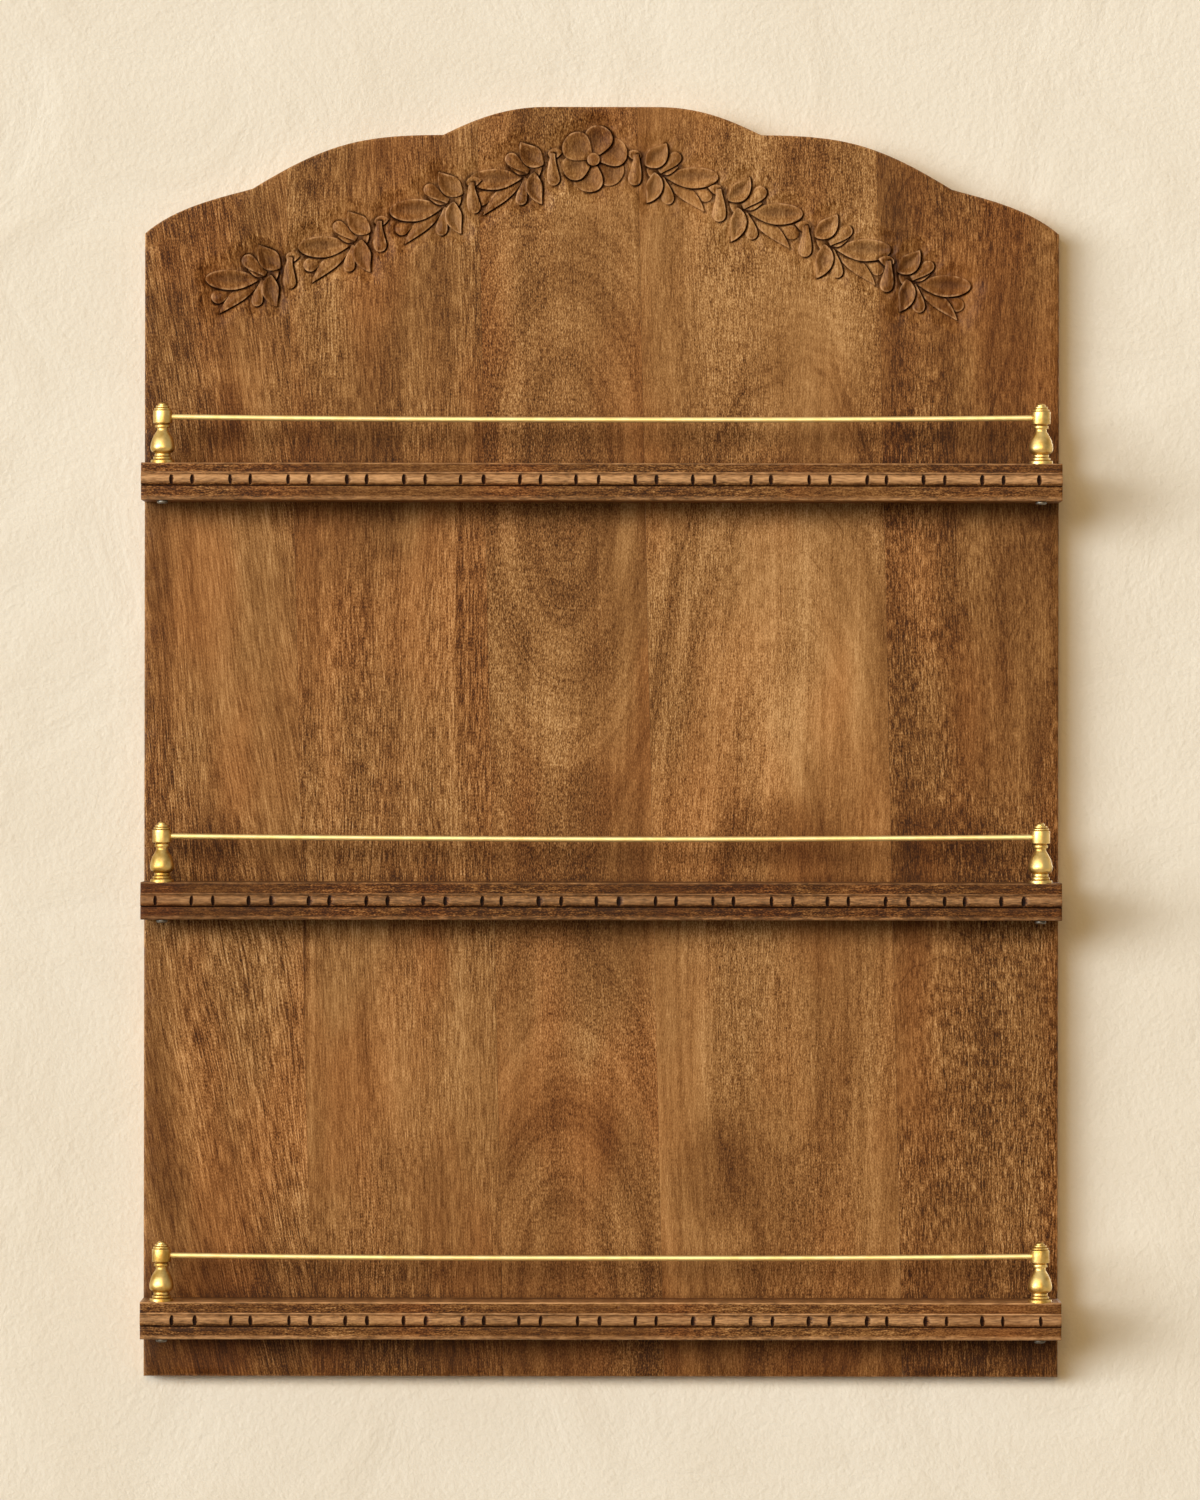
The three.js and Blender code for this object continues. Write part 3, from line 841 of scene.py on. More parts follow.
def notchesOf(place):                        # place across, depth, floor width and slope of each
    at = shelf["firstNotch"][place] - halfWidth
    pair = shelf["pairFirst"][place]
    made = []
    while at < halfWidth - shelf["notchEndMargin"]:
        made.append({
            "at": at + dice.uniform(-0.9, 0.9) * mm,
            "depth": shelf["notchDepth"] * dice.uniform(0.85, 1.1),
            "floor": shelf["notchFloor"] * dice.uniform(0.85, 1.15),
            "slope": shelf["notchSlope"] * dice.choice((0.8, 1, 1, 1.2, 2.2)),
            "lean": dice.uniform(-0.25, 0.25) * mm,
        })
        at += shelf["notchPairStep"] if pair else shelf["notchGapStep"]
        pair = not pair
    return made


def edgeProfile(depth, thickness, lift):     # rows of the section: out, up, and kind or share of bead
    base = thickness * shelf["lowerBandShare"] + lift
    beadBase = base + thickness * shelf["quirkShare"]
    beadTop = beadBase + thickness * shelf["beadShare"]
    filletBase = beadTop + thickness * shelf["filletGrooveShare"]
    filletTop = filletBase + thickness * shelf["filletShare"]
    face = depth - shelf["beadProud"]
    low, high = shelf["bottomRound"], shelf["topRound"]
    rows = [(face - behind, 0, "under") for behind in shelf["flatRows"]]
    for turn in np.linspace(0, 1, 6) * math.pi / 2:
        rows.append((face - low + low * math.sin(turn), low - low * math.cos(turn), "lowArris"))
    rows += [(face, low + share * (base - low), "band") for share in (0.3, 0.6, 0.97)]
    rows += [(face - 0.12 * mm, base, "band")]
    rows += [(face - shelf["quirkDepth"], base + 0.05 * mm, "quirk")]
    rows += [(face - shelf["quirkDepth"], beadBase - 0.05 * mm, "quirk")]
    for share in (1 - np.cos(np.linspace(0, np.pi, 17))) / 2:
        rows.append((face, beadBase + share * (beadTop - beadBase), share))
    rows += [(face + shelf["beadLip"], (beadTop + filletBase) / 2, "groove")]
    for share, level in (
        (0.1, filletBase), (0.8, filletBase + 0.03 * mm), (1.0, filletBase + 0.4 * mm),
        (0.97, filletTop - 0.4 * mm), (0.75, filletTop - 0.1 * mm), (0.3, filletTop + 0.02 * mm),
    ):
        rows.append((face + shelf["filletProud"] * share, level, "fillet"))
    foot = filletTop + 0.15 * mm
    rows += [(face, foot, "band")]
    above = thickness - high - foot
    rows += [(face, foot + share * above, "upperBand") for share in np.linspace(0.1, 0.95, 9)]
    for turn in np.linspace(0, 1, 6) * math.pi / 2:
        level = thickness - high + high * math.sin(turn)
        rows.append((face - high + high * math.cos(turn), level, "topArris"))
    rows += [(face - behind, thickness, "top") for behind in shelf["flatRows"][::-1]]
    return rows


def beadProud(share):                        # how far the bead stands out at a share of its height
    proud = shelf["beadProud"] * halfRound(share) ** 0.85
    return np.maximum(proud, shelf["beadLip"] * (share > 0.5))


notchSteps = ("before", "edge", "wall", "floor", "turn", "rise1", "rise2", "rise3", "after")


def shelfColumns(notches, nicks):            # where the section is drawn, and what notch it serves
    columns = [(x, None, None) for x in np.arange(-halfWidth + 3 * mm, halfWidth - 2 * mm, 3.2 * mm)]
    for notch in notches:
        clear = 3.4 * mm + notch["slope"]
        columns = [c for c in columns if abs(c[0] - notch["at"] - 1 * mm) > clear]
        columns += [(notch["at"], notch, step) for step in notchSteps]
    for nick in nicks:
        columns = [c for c in columns if c[1] or abs(c[0] - nick) > 3 * mm]
        for x in nick + np.linspace(-2.4, 2.4, 13) * mm:
            if all(abs(x - notch["at"]) > 4.4 * mm for notch in notches):
                columns.append((x, None, None))
    columns.sort(key=lambda c: (c[0], notchSteps.index(c[2]) if c[2] else 0))
    return columns


def notchOffset(notch, step, share):         # across from the notch's middle, for a share of the bead
    width = notch["floor"] * (0.5 + 0.5 * (1 - (2 * share - 1) ** 2))
    right, slope = notch["floor"] / 2, notch["slope"]
    offsets = {
        "before": -right - 0.9 * mm,
        "edge": right - width - 0.06 * mm,
        "wall": right - width + 0.08 * mm,
        "floor": right - width * 0.45,
        "turn": right,
        "rise1": right + slope * 0.34,
        "rise2": right + slope * 0.68,
        "rise3": right + slope,
        "after": right + slope + 0.8 * mm,
    }
    return offsets[step] + notch["lean"] * (2 * share - 1)


def notchLevel(notch, step):                 # how proud the cut leaves the bead
    risen = {"wall": 0, "floor": 0, "turn": 0.04, "rise1": 0.36, "rise2": 0.7, "rise3": 1.0}
    if notch is None or step not in risen:
        return shelf["beadProud"] * 2
    return shelf["beadProud"] + (risen[step] - 1) * notch["depth"]


def buildShelf(place, material):
    low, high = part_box("shelf_" + place)
    depth, thickness = -float(low[1]), float(high[2] - low[2])
    wallGap = -float(high[1])
    seed = shelf["seed"][place]
    section = [(wallGap, 0, "wall")] + edgeProfile(depth, thickness, shelf["mouldingLift"][place])
    section.append((wallGap, thickness, "wall"))
    notches, nicks = notchesOf(place), shelf["nicks"][place]
    columns = [(-halfWidth, None, "end"), (shelf["endRound"] - halfWidth, None, None)]
    columns += shelfColumns(notches, nicks)
    columns += [(halfWidth - shelf["endRound"], None, None), (halfWidth, None, "end")]

    isBead = np.array([not isinstance(row[2], str) for row in section])
    share = np.array([row[2] if bead else float(row[1] > thickness / 2)
                      for row, bead in zip(section, isBead)])
    at = np.array([x + (notchOffset(notch, step, share) if notch else 0 * share)
                   for x, notch, step in columns])
    out = np.tile([row[0] for row in section], (len(columns), 1))
    up = np.tile([float(row[1]) for row in section], (len(columns), 1))
    wear = 0.5 + 0.5 * softNoise(at, 0 * at, shelf["wearLength"], seed)
    fine = 0.5 + 0.5 * softNoise(at, up, shelf["fineWearLength"], seed + 1)

    def rowsOf(*kinds):
        return np.array([float(not bead and row[2] in kinds) for row, bead in zip(section, isBead)])

    proud = beadProud(share) * (1 - 0.05 * wear)
    limit = np.array([notchLevel(notch, step) for x, notch, step in columns])[:, None]
    proud = np.clip(np.minimum(proud, limit + 0.14 * mm * fine), 0, None)
    out += isBead * proud
    lost = shelf["lost"]
    out -= rowsOf("lowArris", "topArris") * lost["arris"] * wear
    up += (rowsOf("lowArris") - rowsOf("topArris")) * lost["arrisHeight"] * fine
    out -= rowsOf("fillet") * lost["fillet"] * fine + rowsOf("upperBand", "band") * lost["band"] * fine
    for nick in nicks:
        gap = np.hypot(at - nick, up - thickness * shelf["nickLevel"])
        bite = np.clip(1 - gap / shelf["nickReach"], 0, 1) ** 0.8
        out -= rowsOf("upperBand", "topArris") * lost["nick"] * bite
    trim = shelf["endRound"] * 0.6
    for row in (0, -1):
        out[row] -= (1 - rowsOf("wall")) * trim
        up[row] = np.clip(up[row], trim, thickness - trim)

    worn = 0 * at
    for kind, most in shelf["worn"][place].items():
        if kind != "bead":
            worn += rowsOf(kind) * most * (0.45 + 0.75 * fine)
    # the crest is painted pale a little above the bead's middle, where its highlight falls: wear and
    # painted highlight
    crown = np.clip(1.1 - (2 * share - 1.2) ** 2 * 1.1, 0, 1)
    uncut = 1 - np.clip((beadProud(share) - proud) / (0.5 * shelf["notchDepth"]), 0, 1)
    worn += isBead * crown * uncut * shelf["worn"][place]["bead"] * (0.75 + 0.5 * wear)
    # painted shade in the quirk and in the deep notch cuts
    crease = rowsOf("quirk") + isBead * (1 - uncut) * (limit < 0.4 * shelf["beadProud"])

    points = np.stack([at, -out, low[2] + up], 2).reshape(-1, 3)
    rowCount, columnCount = len(section), len(columns)
    last = (columnCount - 1) * rowCount
    faces = [tuple(range(rowCount)), tuple(range(last, last + rowCount))[::-1]]
    for i in range(columnCount - 1):
        faces += bandFaces(i * rowCount, rowCount, True)
    name = "shelf_" + place
    piece = addPiece("shelf_board_" + place, points, faces, material, name, 34)
    addShare(piece, "worn", worn.ravel())
    addShare(piece, "crease", (crease + 0 * at).ravel())
    return piece


# Turned pieces

def turnedRows(profile, sides):              # points and faces about +Z from [radius, height] pairs
    points, faces = [], []
    rings = []
    for radius, height in profile:
        if radius < 1e-7:
            rings.append([len(points)])
            points.append((0.0, 0.0, height))
            continue
        ring = []
        for turn in np.linspace(0, 2 * math.pi, sides, endpoint=False):
            ring.append(len(points))
            points.append((radius * math.cos(turn), radius * math.sin(turn), height))
        rings.append(ring)
    for below, above in zip(rings, rings[1:]):
        for i in range(sides):
            after = (i + 1) % sides
            corners = [below[i % len(below)], below[after % len(below)],
                       above[after % len(above)], above[i % len(above)]]
            corners = [corner for k, corner in enumerate(corners) if corner != corners[k - 1]]
            if len(corners) > 2:
                faces.append(tuple(corners))
    return np.array(points), faces


def eased(profile):                          # (radius, height, rounding): corners become short arcs
    made = []
    for k, (radius, height, rounding) in enumerate(profile):
        if not rounding or k in (0, len(profile) - 1):
            made.append((radius, height))
            continue
        corner = np.array((radius, height))
        before = np.array(profile[k - 1][:2]) - corner
        after = np.array(profile[k + 1][:2]) - corner
        reach = min(rounding, np.linalg.norm(before) * 0.45, np.linalg.norm(after) * 0.45)
        start = corner + before / np.linalg.norm(before) * reach
        end = corner + after / np.linalg.norm(after) * reach
        for share in (0, 0.25, 0.5, 0.75, 1):
            at = (1 - share) ** 2 * start + 2 * share * (1 - share) * corner + share ** 2 * end
            made.append(tuple(at))
    return made


def smoothRun(points, steps):                # a smooth run through radius and height points
    points = [np.array(point, float) for point in points]
    padded = [2 * points[0] - points[1]] + points + [2 * points[-1] - points[-2]]
    made = []
    for a, b, c, d in zip(padded, padded[1:], padded[2:], padded[3:]):
        for share in np.linspace(0, 1, steps, endpoint=False):
            cube, square = share ** 3, share ** 2
            bend = (2 * a - 5 * b + 4 * c - d) * square + (3 * b - a - 3 * c + d) * cube
            at = 0.5 * (2 * b + (c - a) * share + bend)
            made.append((float(at[0]), float(at[1]), 0))
    made.append((float(points[-1][0]), float(points[-1][1]), 0))
    return made


post = {                                     # in millimetres, heights from the top of the shelf
    "seat": -0.4,
    "foot": (8.5, 2.0, 0.8),                 # radius, height and rounding
    "steps": (                               # two rings, given as the collar is
        (6.7, 2.15, 4.2, 5.4, 0.75),
        (5.7, 4.45, 6.4, 5.0, 0.75),
    ),
    "bulb": ((5.5, 6.55), (7.3, 7.5), (8.45, 9.1), (8.75, 11.2), (8.35, 13.8), (7.4, 17.0), (6.2, 19.4),
             (4.9, 21.5), (4.15, 23.0), (4.1, 24.3)),
    "collar": (5.35, 24.9, 27.1, 4.2, 0.9),  # radius, from, to, radius beside it, rounding
    "neck": (4.8, 27.75, 0.1),
    "drum": (6.8, 28.1, 37.3, 4.6, 0.55),
    "shoulder": (6.0, 37.4, 38.9, 4.4, 0.6),
    "ring": (4.85, 39.0, 40.8, 3.3, 0.7),
    "button": ((3.3, 40.9), (3.15, 41.7), (2.5, 42.4), (1.4, 42.95), (0.0, 43.2)),
    "sides": 72,
}


def hoop(radius, low, high, inner, soft):    # a rounded ring that rises from a smaller radius
    return [(inner, low, 0.1), (radius, low, soft), (radius, high, soft), (inner, high, 0.1)]


def postProfile():
    profile = [(0, post["seat"], 0), (post["foot"][0], post["seat"], 0), post["foot"]]
    for step in post["steps"]:
        profile += hoop(*step)
    profile += smoothRun(post["bulb"], 5) + hoop(*post["collar"]) + [post["neck"]]
    for ring in ("drum", "shoulder", "ring"):
        profile += hoop(*post[ring])
    profile += smoothRun(post["button"], 4)
    return [(radius * mm, height * mm) for radius, height in eased(profile)]


def buildPost(place, hand, material):
    name = "post_" + place + "_" + hand
    low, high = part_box(name)
    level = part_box("shelf_" + place)[1][2]
    points, faces = turnedRows(postProfile(), post["sides"])
    points = points + ((low[0] + high[0]) / 2, (low[1] + high[1]) / 2, level)
    return addPiece("gallery_" + name, points, faces, material, name, 40)


rail = {"sides": 28, "steps": 90, "wave": 0.12 * mm}


def buildRail(place, material):              # a rod that hangs a little between its posts
    name = "rail_" + place
    low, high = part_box(name)
    radius = (high[1] - low[1]) / 2
    sag = (high[2] - low[2]) - 2 * radius
    middle = (low[1] + high[1]) / 2
    phase = dice.uniform(0, 6)
    points, faces = [], []
    for i, x in enumerate(np.linspace(low[0], high[0], rail["steps"] + 1)):
        share = x / high[0]
        level = high[2] - radius - sag * (1 - share * share)
        level += rail["wave"] * math.sin(5 * share + phase) * (1 - share * share)
        for turn in np.linspace(0, 2 * math.pi, rail["sides"], endpoint=False):
            points.append((x, middle + radius * math.cos(turn), level + radius * math.sin(turn)))
    count = rail["sides"]
    for i in range(rail["steps"]):
        faces += bandFaces(i * count, count)
    last = rail["steps"] * count
    faces += [tuple(range(count))[::-1], tuple(range(last, last + count))]
    return addPiece("gallery_" + name, points, faces, material, name, 40)


# Screws: a turned body whose flat top has a cross cut in it

screws = {
    "post": {"diameter": 4.0, "head": 8.0, "height": 2.2, "recess": 1.3},
    "shelf": {"diameter": 4.5, "head": 9.0, "height": 0.0, "recess": 1.8},
    "hanger": {"diameter": 3.0, "head": 6.0, "height": 0.0, "recess": 1.2},
    "sides": 40,
}


def crossLoop(arm, half):
    quarter = [(arm, -half), (arm, half), (half, half)]
    loop = []
    for turn in range(4):
        loop += [rotated(x, y, turn * math.pi / 2) for x, y in quarter]
    return loop


def screwBody(kind, length):                 # about +Z, the head's flat top at height 0, the body below
    sizes = screws[kind]
    radius, head, height = sizes["diameter"] / 2 * mm, sizes["head"] / 2 * mm, sizes["height"] * mm
    if height:                               # a pan head
        flatRadius = head * 0.66
        profile = [(0, -length), (radius, -length), (radius, -height), (head * 0.97, -height),
                   (head, -height * 0.9), (head, -height * 0.5), (head * 0.96, -height * 0.28),
                   (head * 0.84, -height * 0.08), (flatRadius, 0)]
    else:                                    # a countersunk one
        flatRadius = head * 0.97
        point = radius * 2.2
        profile = [(0, -length), (radius, point - length), (radius, radius - head - 0.1 * mm),
                   (head - 0.05 * mm, -0.15 * mm), (head, -0.06 * mm), (flatRadius, 0)]
    sides = screws["sides"]
    points, faces = turnedRows(profile, sides)
    arm, half = head * 0.56, head * 0.13
    circle = points[-sides:, :2]
    cross = crossLoop(arm, half)
    flat, top = triangulate(circle, [cross], [])
    start = len(points)
    depth = sizes["recess"] * mm
    rim = [(x, y, 0) for x, y in cross]
    floor = [(x * 0.86, y * 0.86, -depth) for x, y in cross]
    flat = np.column_stack([flat, np.zeros(len(flat))])
    faces += [tuple(start + i for i in face) for face in top]
    start += len(flat)
    count = len(cross)
    faces += [face[::-1] for face in bandFaces(start, count)]
    faces.append(tuple(range(start + count, start + 2 * count)))
    points = np.vstack([points, flat, rim, floor])
    points, faces, _ = welded(points, faces, np.zeros(len(points)))
    return points, faces


def buildScrew(kind, name, material):
    low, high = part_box(name)
    middle = (np.array(low) + np.array(high)) / 2
    turn = dice.uniform(0, math.pi / 2)
    way = 2 if kind == "post" else 1
    points, faces = screwBody(kind, float(high[way] - low[way]))
    x, y = rotated(points[:, 0], points[:, 1], turn)
    z = points[:, 2]
    if kind == "post":                       # the head looks down
        points = np.column_stack([middle[0] + x, middle[1] - y, low[2] - z])
    else:                                    # the head looks at the wall
        points = np.column_stack([middle[0] - x, high[1] + z, middle[2] + y])
    return addPiece("set_" + name, points, faces, material, name, 35)


# Materials

woodTones = {
    "deep": paint(52, 26, 6),
    "dark": paint(97, 58, 22),
    "middle": paint(139, 96, 51),
    "light": paint(176, 131, 80),
    "pale": paint(212, 169, 116),
    "rubbedAndSheen": paint(208, 160, 112),          # where the stain is worn off, and painted highlight
    "stainAndShade": paint(72, 36, 16),              # where stain lies thick and where shade is painted, as a share of the wood's colour
}
woodSheen = 0.12
grain = {                                    # cells to the metre across, into and along the fibres
    "wander": (6, 5, 1.9),
    "ripple": (24, 9, 8),
    "streaks": (46, 40, 2.6),
    "threads": (230, 150, 9),
    "flecks": (880, 500),                    # along the fibres these follow each look's fleckLength
    "fineFlecks": (1500, 900, 620),
    "pores": (1150, 900, 85),
}
ringCounts = {"zones": 62, "lines": 150, "fine": 250}    # to the metre
curlTurn = 820                               # radians of the curl's ripples to the metre
toneOf = {                                   # what each adds to the tone or takes off it
    "threads": 0.34, "flecks": 1.35, "fineFlecks": 1.15, "darkPores": 0.14, "paleFibres": 0.09,
    "ringLines": 0.12, "waves": 0.03,
}
heightOf = {"threads": 0.4, "flecks": 0.6, "darkPores": 0.4, "waves": 0.1}   # the same for the bump
paintedShadeBands = {                                     # painted shade bands: where each ends and where it is full, and how dark
    "foot": (34 * mm, 26 * mm, 0.23),
    "shelf": (42 * mm, 18 * mm, 0.12),
    "corner": (7 * mm, 0, 0.08),
}


def oval(shader, x, z, spot):                # 1 in the middle of a soft oval, 0 outside it
    atX, atZ, wide, tall = [value * mm for value in spot]
    across, along = (x - atX) * (1 / wide), (z - atZ) * (1 / tall)
    return shader.ease(across * across + along * along, 1.0, 0.0)


def paintedShadeByShelves(shader, z):                        # painted shade: darker bands above each shelf, deepest in the corner, and below the lowest one
    fade, full, share = paintedShadeBands["foot"]
    found = shader.ease(z, footLevel + fade, footLevel + full) * share
    for place in ("upper", "middle", "lower"):
        low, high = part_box("shelf_" + place)
        above = shader.ease(z, low[2], high[2])
        fade, full, share = paintedShadeBands["shelf"]
        found = found + shader.ease(z, high[2] + fade, high[2] + full, 0, share) * above
        fade, full, share = paintedShadeBands["corner"]
        found = found + shader.ease(z, high[2] + fade, high[2] + full) * above * share
    return found


def woodMaterial(name, look):
    shader = newMaterial(name)
    x, y, z = shader.axes(shader.place())
    across, along = (x, z) if look["grain"] == "up" else (z, x)
    deep = y - boardFront
    seed = look["seed"] * 7.3

    def grained(kind, start, end=0, detail=2.0, roughness=0.5):
        wide, deepCells, tall = (*grain[kind], 1000 / look["fleckLength"])[:3]
        place = shader.vector(start * wide + (seed - end), deep * deepCells, along * tall + end)
        return shader.noise(place, detail, roughness)

    # the fibres lean and wander a little as they run
    wander = grained("wander", across) - 0.5
    ripple = grained("ripple", across) - 0.5
    fibreAcross = across + along * look["lean"] + wander * look["wander"] + ripple * 0.0035

    # growth rings: round a heart behind the face, pushed aside where a branch was near
    turns = (along - look["flameAt"]) * (6.2832 / look["flameLength"])
    swing = shader.math("COSINE", turns)
    heart = swing * (look["flameDepth"] / 2) + look["flameDepth"] / 2 + look["heartDepth"] + deep
    offset = fibreAcross - look["heartAt"]
    ring = shader.math("SQRT", offset * offset + heart * heart) + wander * 0.012
    for spot in look["branches"]:
        ring = ring + oval(shader, x, z, spot[:4]) * (spot[4] * mm)
    zones = shader.line(ring * ringCounts["zones"] + seed) - 0.5
    lines = shader.line((ring + ripple * 0.012) * ringCounts["lines"] + seed, 1.0, 0.4)
    fineRings = shader.line((ring + ripple * 0.01) * ringCounts["fine"] + seed, 2.0, 0.6) - 0.5
    linePlace = shader.noise(shader.vector(x * 11, deep * 11, z * 7 + seed), 1.0)
    ringLines = shader.ease(lines, 0.545, 0.56) * shader.ease(lines, 0.585, 0.565)
    ringLines = ringLines * shader.ease(linePlace, 0.44, 0.58)

    # streaks, fibres and the short open pores
    streaks = grained("streaks", fibreAcross, 0, 3.0, 0.55) - 0.5
    threads = grained("threads", fibreAcross, seed, 2.0, 0.6) - 0.5
    flecks = grained("flecks", fibreAcross, 0, 1.5, 0.6) - 0.5
    fineFlecks = grained("fineFlecks", fibreAcross, seed, 1.0) - 0.5
    pores = grained("pores", fibreAcross, 0, 1.0)
    darkPores = shader.ease(pores, 0.62, 0.74)
    paleFibres = shader.ease(pores, 0.42, 0.3)
    cloud = shader.noise(shader.vector(x * 10 + seed, deep * 9, z * 6), 3.0, 0.5) - 0.5
    coarse = shader.noise(shader.vector(x * 8, deep * 8, z * 3.5 + seed), 2.0)
    coarse = shader.ease(coarse, 0.38, 0.62, 0.55, 1.25)

    # curl: a soft crosswise ripple in places
    curlPlace = shader.noise(shader.vector(across * 9, deep * 7, along * 5 + seed), 1.0)
    curlPlace = shader.ease(curlPlace, 0.55, 0.68)
    turns = (along + across * 0.25 + ripple * 0.03) * curlTurn
    waves = shader.math("SINE", turns) * curlPlace

    tone = zones * look["zones"] + fineRings * look["rings"] + streaks * look["streaks"]
    tone = tone + threads * toneOf["threads"] + cloud * look["cloud"]
    specks = flecks * (look["flecks"] * toneOf["flecks"]) + fineFlecks * toneOf["fineFlecks"]
    tone = tone + specks * coarse * (1 - shader.share("carved") * 0.5)
    tone = tone + (0.5 + look["tone"])
    tone = tone - darkPores * toneOf["darkPores"] + paleFibres * toneOf["paleFibres"]
    tone = tone - ringLines * toneOf["ringLines"] + waves * toneOf["waves"]
    if look["grain"] == "up":
        # painted shade by the shelves, on the front face only
        tone = tone - paintedShadeByShelves(shader, z) * shader.ease(deep, 8 * mm, 2 * mm)
    for spot in look["patches"]:
        tone = tone + oval(shader, x, z, spot[:4]) * spot[4]

    stops = [(0.0, woodTones["deep"]), (0.26, woodTones["dark"]), (0.5, woodTones["middle"]),
             (0.72, woodTones["light"]), (1.0, woodTones["pale"])]
    colour = shader.node("ValToRGB", {"stops": stops}, {"Fac": tone})
    warm = shader.noise(shader.vector(x * 14 + seed, deep * 13, z * 5), 2.0)
    colour = shader.mixColour(shader.ease(warm, 0.4, 0.68) * 0.4, colour, look["tint"], "MULTIPLY")

    # rubbed colour: wear, and painted highlight on leaf rims, beads and lit edges
    rubbedAndSheen = shader.share("worn") * (0.9 + flecks * 2.2 + threads * 1.2)
    colour = shader.mixColour(rubbedAndSheen, colour, woodTones["rubbedAndSheen"])
    # painted shade and stain darken cuts, quirks and notches
    crease = shader.share("crease")
    colour = shader.mixColour(crease * 0.94, colour, woodTones["stainAndShade"], "MULTIPLY")

    height = threads * heightOf["threads"] + flecks * heightOf["flecks"]
    height = height - darkPores * heightOf["darkPores"] + waves * heightOf["waves"]
    normal = shader.bump(0.4, 0.3 * mm, height)
    roughness = 0.5 + cloud * 0.25 + darkPores * 0.15 + crease * 0.2
    sockets = {"Base Color": colour, "Roughness": roughness, "Normal": normal,
               "Specular IOR Level": woodSheen}
    return shader.finish(shader.node("BsdfPrincipled", None, sockets))


# From left to right. Distances are in metres, the branches and patches in millimetres: place across
# and up, half width and half height, and how far the rings are pushed or the tone is changed
boardLooks = [
    {
        "seed": 1, "tone": 0.0, "tint": paint(255, 214, 180), "lean": 0.16, "wander": 0.05,
        "streaks": 0.52, "cloud": 0.4, "flecks": 1.1, "fleckLength": 17, "zones": 0.26, "rings": 0.12,
        "heartAt": -0.42, "heartDepth": 0.06, "flameAt": -0.1, "flameLength": 1.1, "flameDepth": 0.05,
        "branches": (
            (-276, -400, 36, 120, 26),
        ),
        "patches": (
            (-275, 60, 45, 150, 0.1), (-318, -300, 16, 170, -0.14), (-280, 340, 60, 90, -0.13),
            # the last two patches on the next line are painted shadows of the left posts of the upper
            # and middle shelves
            (-325, 100, 22, 400, -0.12), (-272, 234, 26, 32, -0.2), (-278, -70, 32, 26, -0.18),
            (-290, 380, 60, 30, -0.08),
        ),
    },
    {
        "seed": 2, "tone": -0.02, "tint": paint(255, 214, 180), "lean": 0.02, "wander": 0.03,
        "streaks": 0.58, "cloud": 0.4, "flecks": 1.0, "fleckLength": 13, "zones": 0.28, "rings": 0.1,
        "heartAt": -0.235, "heartDepth": 0.05, "flameAt": 0.1, "flameLength": 1.4, "flameDepth": 0.05,
        "branches": (),
        "patches": (
            (-208, -180, 3, 200, 0.14), (-214, -180, 3.5, 220, -0.12),
            (-226, 100, 2.8, 190, 0.15), (-231, 100, 3, 200, -0.13), (-108, 110, 3, 170, 0.12),
            (-102, 110, 3, 180, -0.13), (-97, 110, 2.6, 170, 0.12), (-127, -220, 44, 100, 0.2),
            (-198, 412, 34, 34, -0.14), (-150, 428, 70, 24, -0.08),
            (-206, -150, 22, 36, -0.12), (-86, 90, 8, 110, 0.12), (-164, 307, 22, 36, 0.1),
            (-158, 80, 10, 70, 0.12),
        ),
    },
    {
        "seed": 3, "tone": -0.02, "tint": paint(255, 210, 176), "lean": 0.0, "wander": 0.035,
        "streaks": 0.5, "cloud": 0.38, "flecks": 0.7, "fleckLength": 4.5, "zones": 0.3, "rings": 0.24,
        "heartAt": -0.028, "heartDepth": 0.045, "flameAt": -0.11, "flameLength": 0.6, "flameDepth": 0.06,
        "branches": (),
        "patches": (
            (-40, 30, 26, 90, 0.07), (-20, 300, 70, 120, 0.05), (-32, 40, 30, 50, 0.15),
            (-6, -42, 34, 34, -0.14), (-20, 452, 80, 26, -0.1), (10, 362, 50, 24, -0.08),
        ),
    },
    {
        "seed": 4, "tone": 0.05, "tint": paint(255, 218, 184), "lean": -0.01, "wander": 0.035,
        "streaks": 0.6, "cloud": 0.4, "flecks": 0.75, "fleckLength": 8, "zones": 0.26, "rings": 0.17,
        "heartAt": 0.136, "heartDepth": 0.05, "flameAt": 0.45, "flameLength": 1.2, "flameDepth": 0.09,
        "branches": (),
        "patches": (
            (130, 70, 80, 170, 0.13), (130, -370, 80, 90, -0.06), (120, 330, 80, 120, 0.04),
            (126, -64, 50, 34, -0.2), (142, 14, 32, 42, 0.12), (82, -310, 32, 52, -0.2),
            (72, 428, 30, 30, -0.12), (155, 408, 60, 44, -0.14), (95, 352, 40, 24, -0.08),
            (158, 286, 34, 56, 0.1), (169, 112, 18, 64, -0.12),
        ),
    },
    {
        "seed": 5, "tone": -0.1, "tint": paint(255, 212, 176), "lean": 0.02, "wander": 0.035,
        "streaks": 0.6, "cloud": 0.4, "flecks": 1.15, "fleckLength": 9, "zones": 0.28, "rings": 0.15,
        "heartAt": 0.24, "heartDepth": 0.04, "flameAt": -0.02, "flameLength": 0.76, "flameDepth": 0.08,
        "branches": (
            (235, 360, 60, 90, -30),
        ),
        "patches": (
            (230, -230, 20, 70, 0.2), (300, -180, 60, 160, -0.05), (252, 112, 22, 64, -0.1),
            (250, -66, 50, 24, -0.12), (250, 385, 70, 34, -0.08), (300, -432, 40, 30, -0.1),
        ),
    },
]
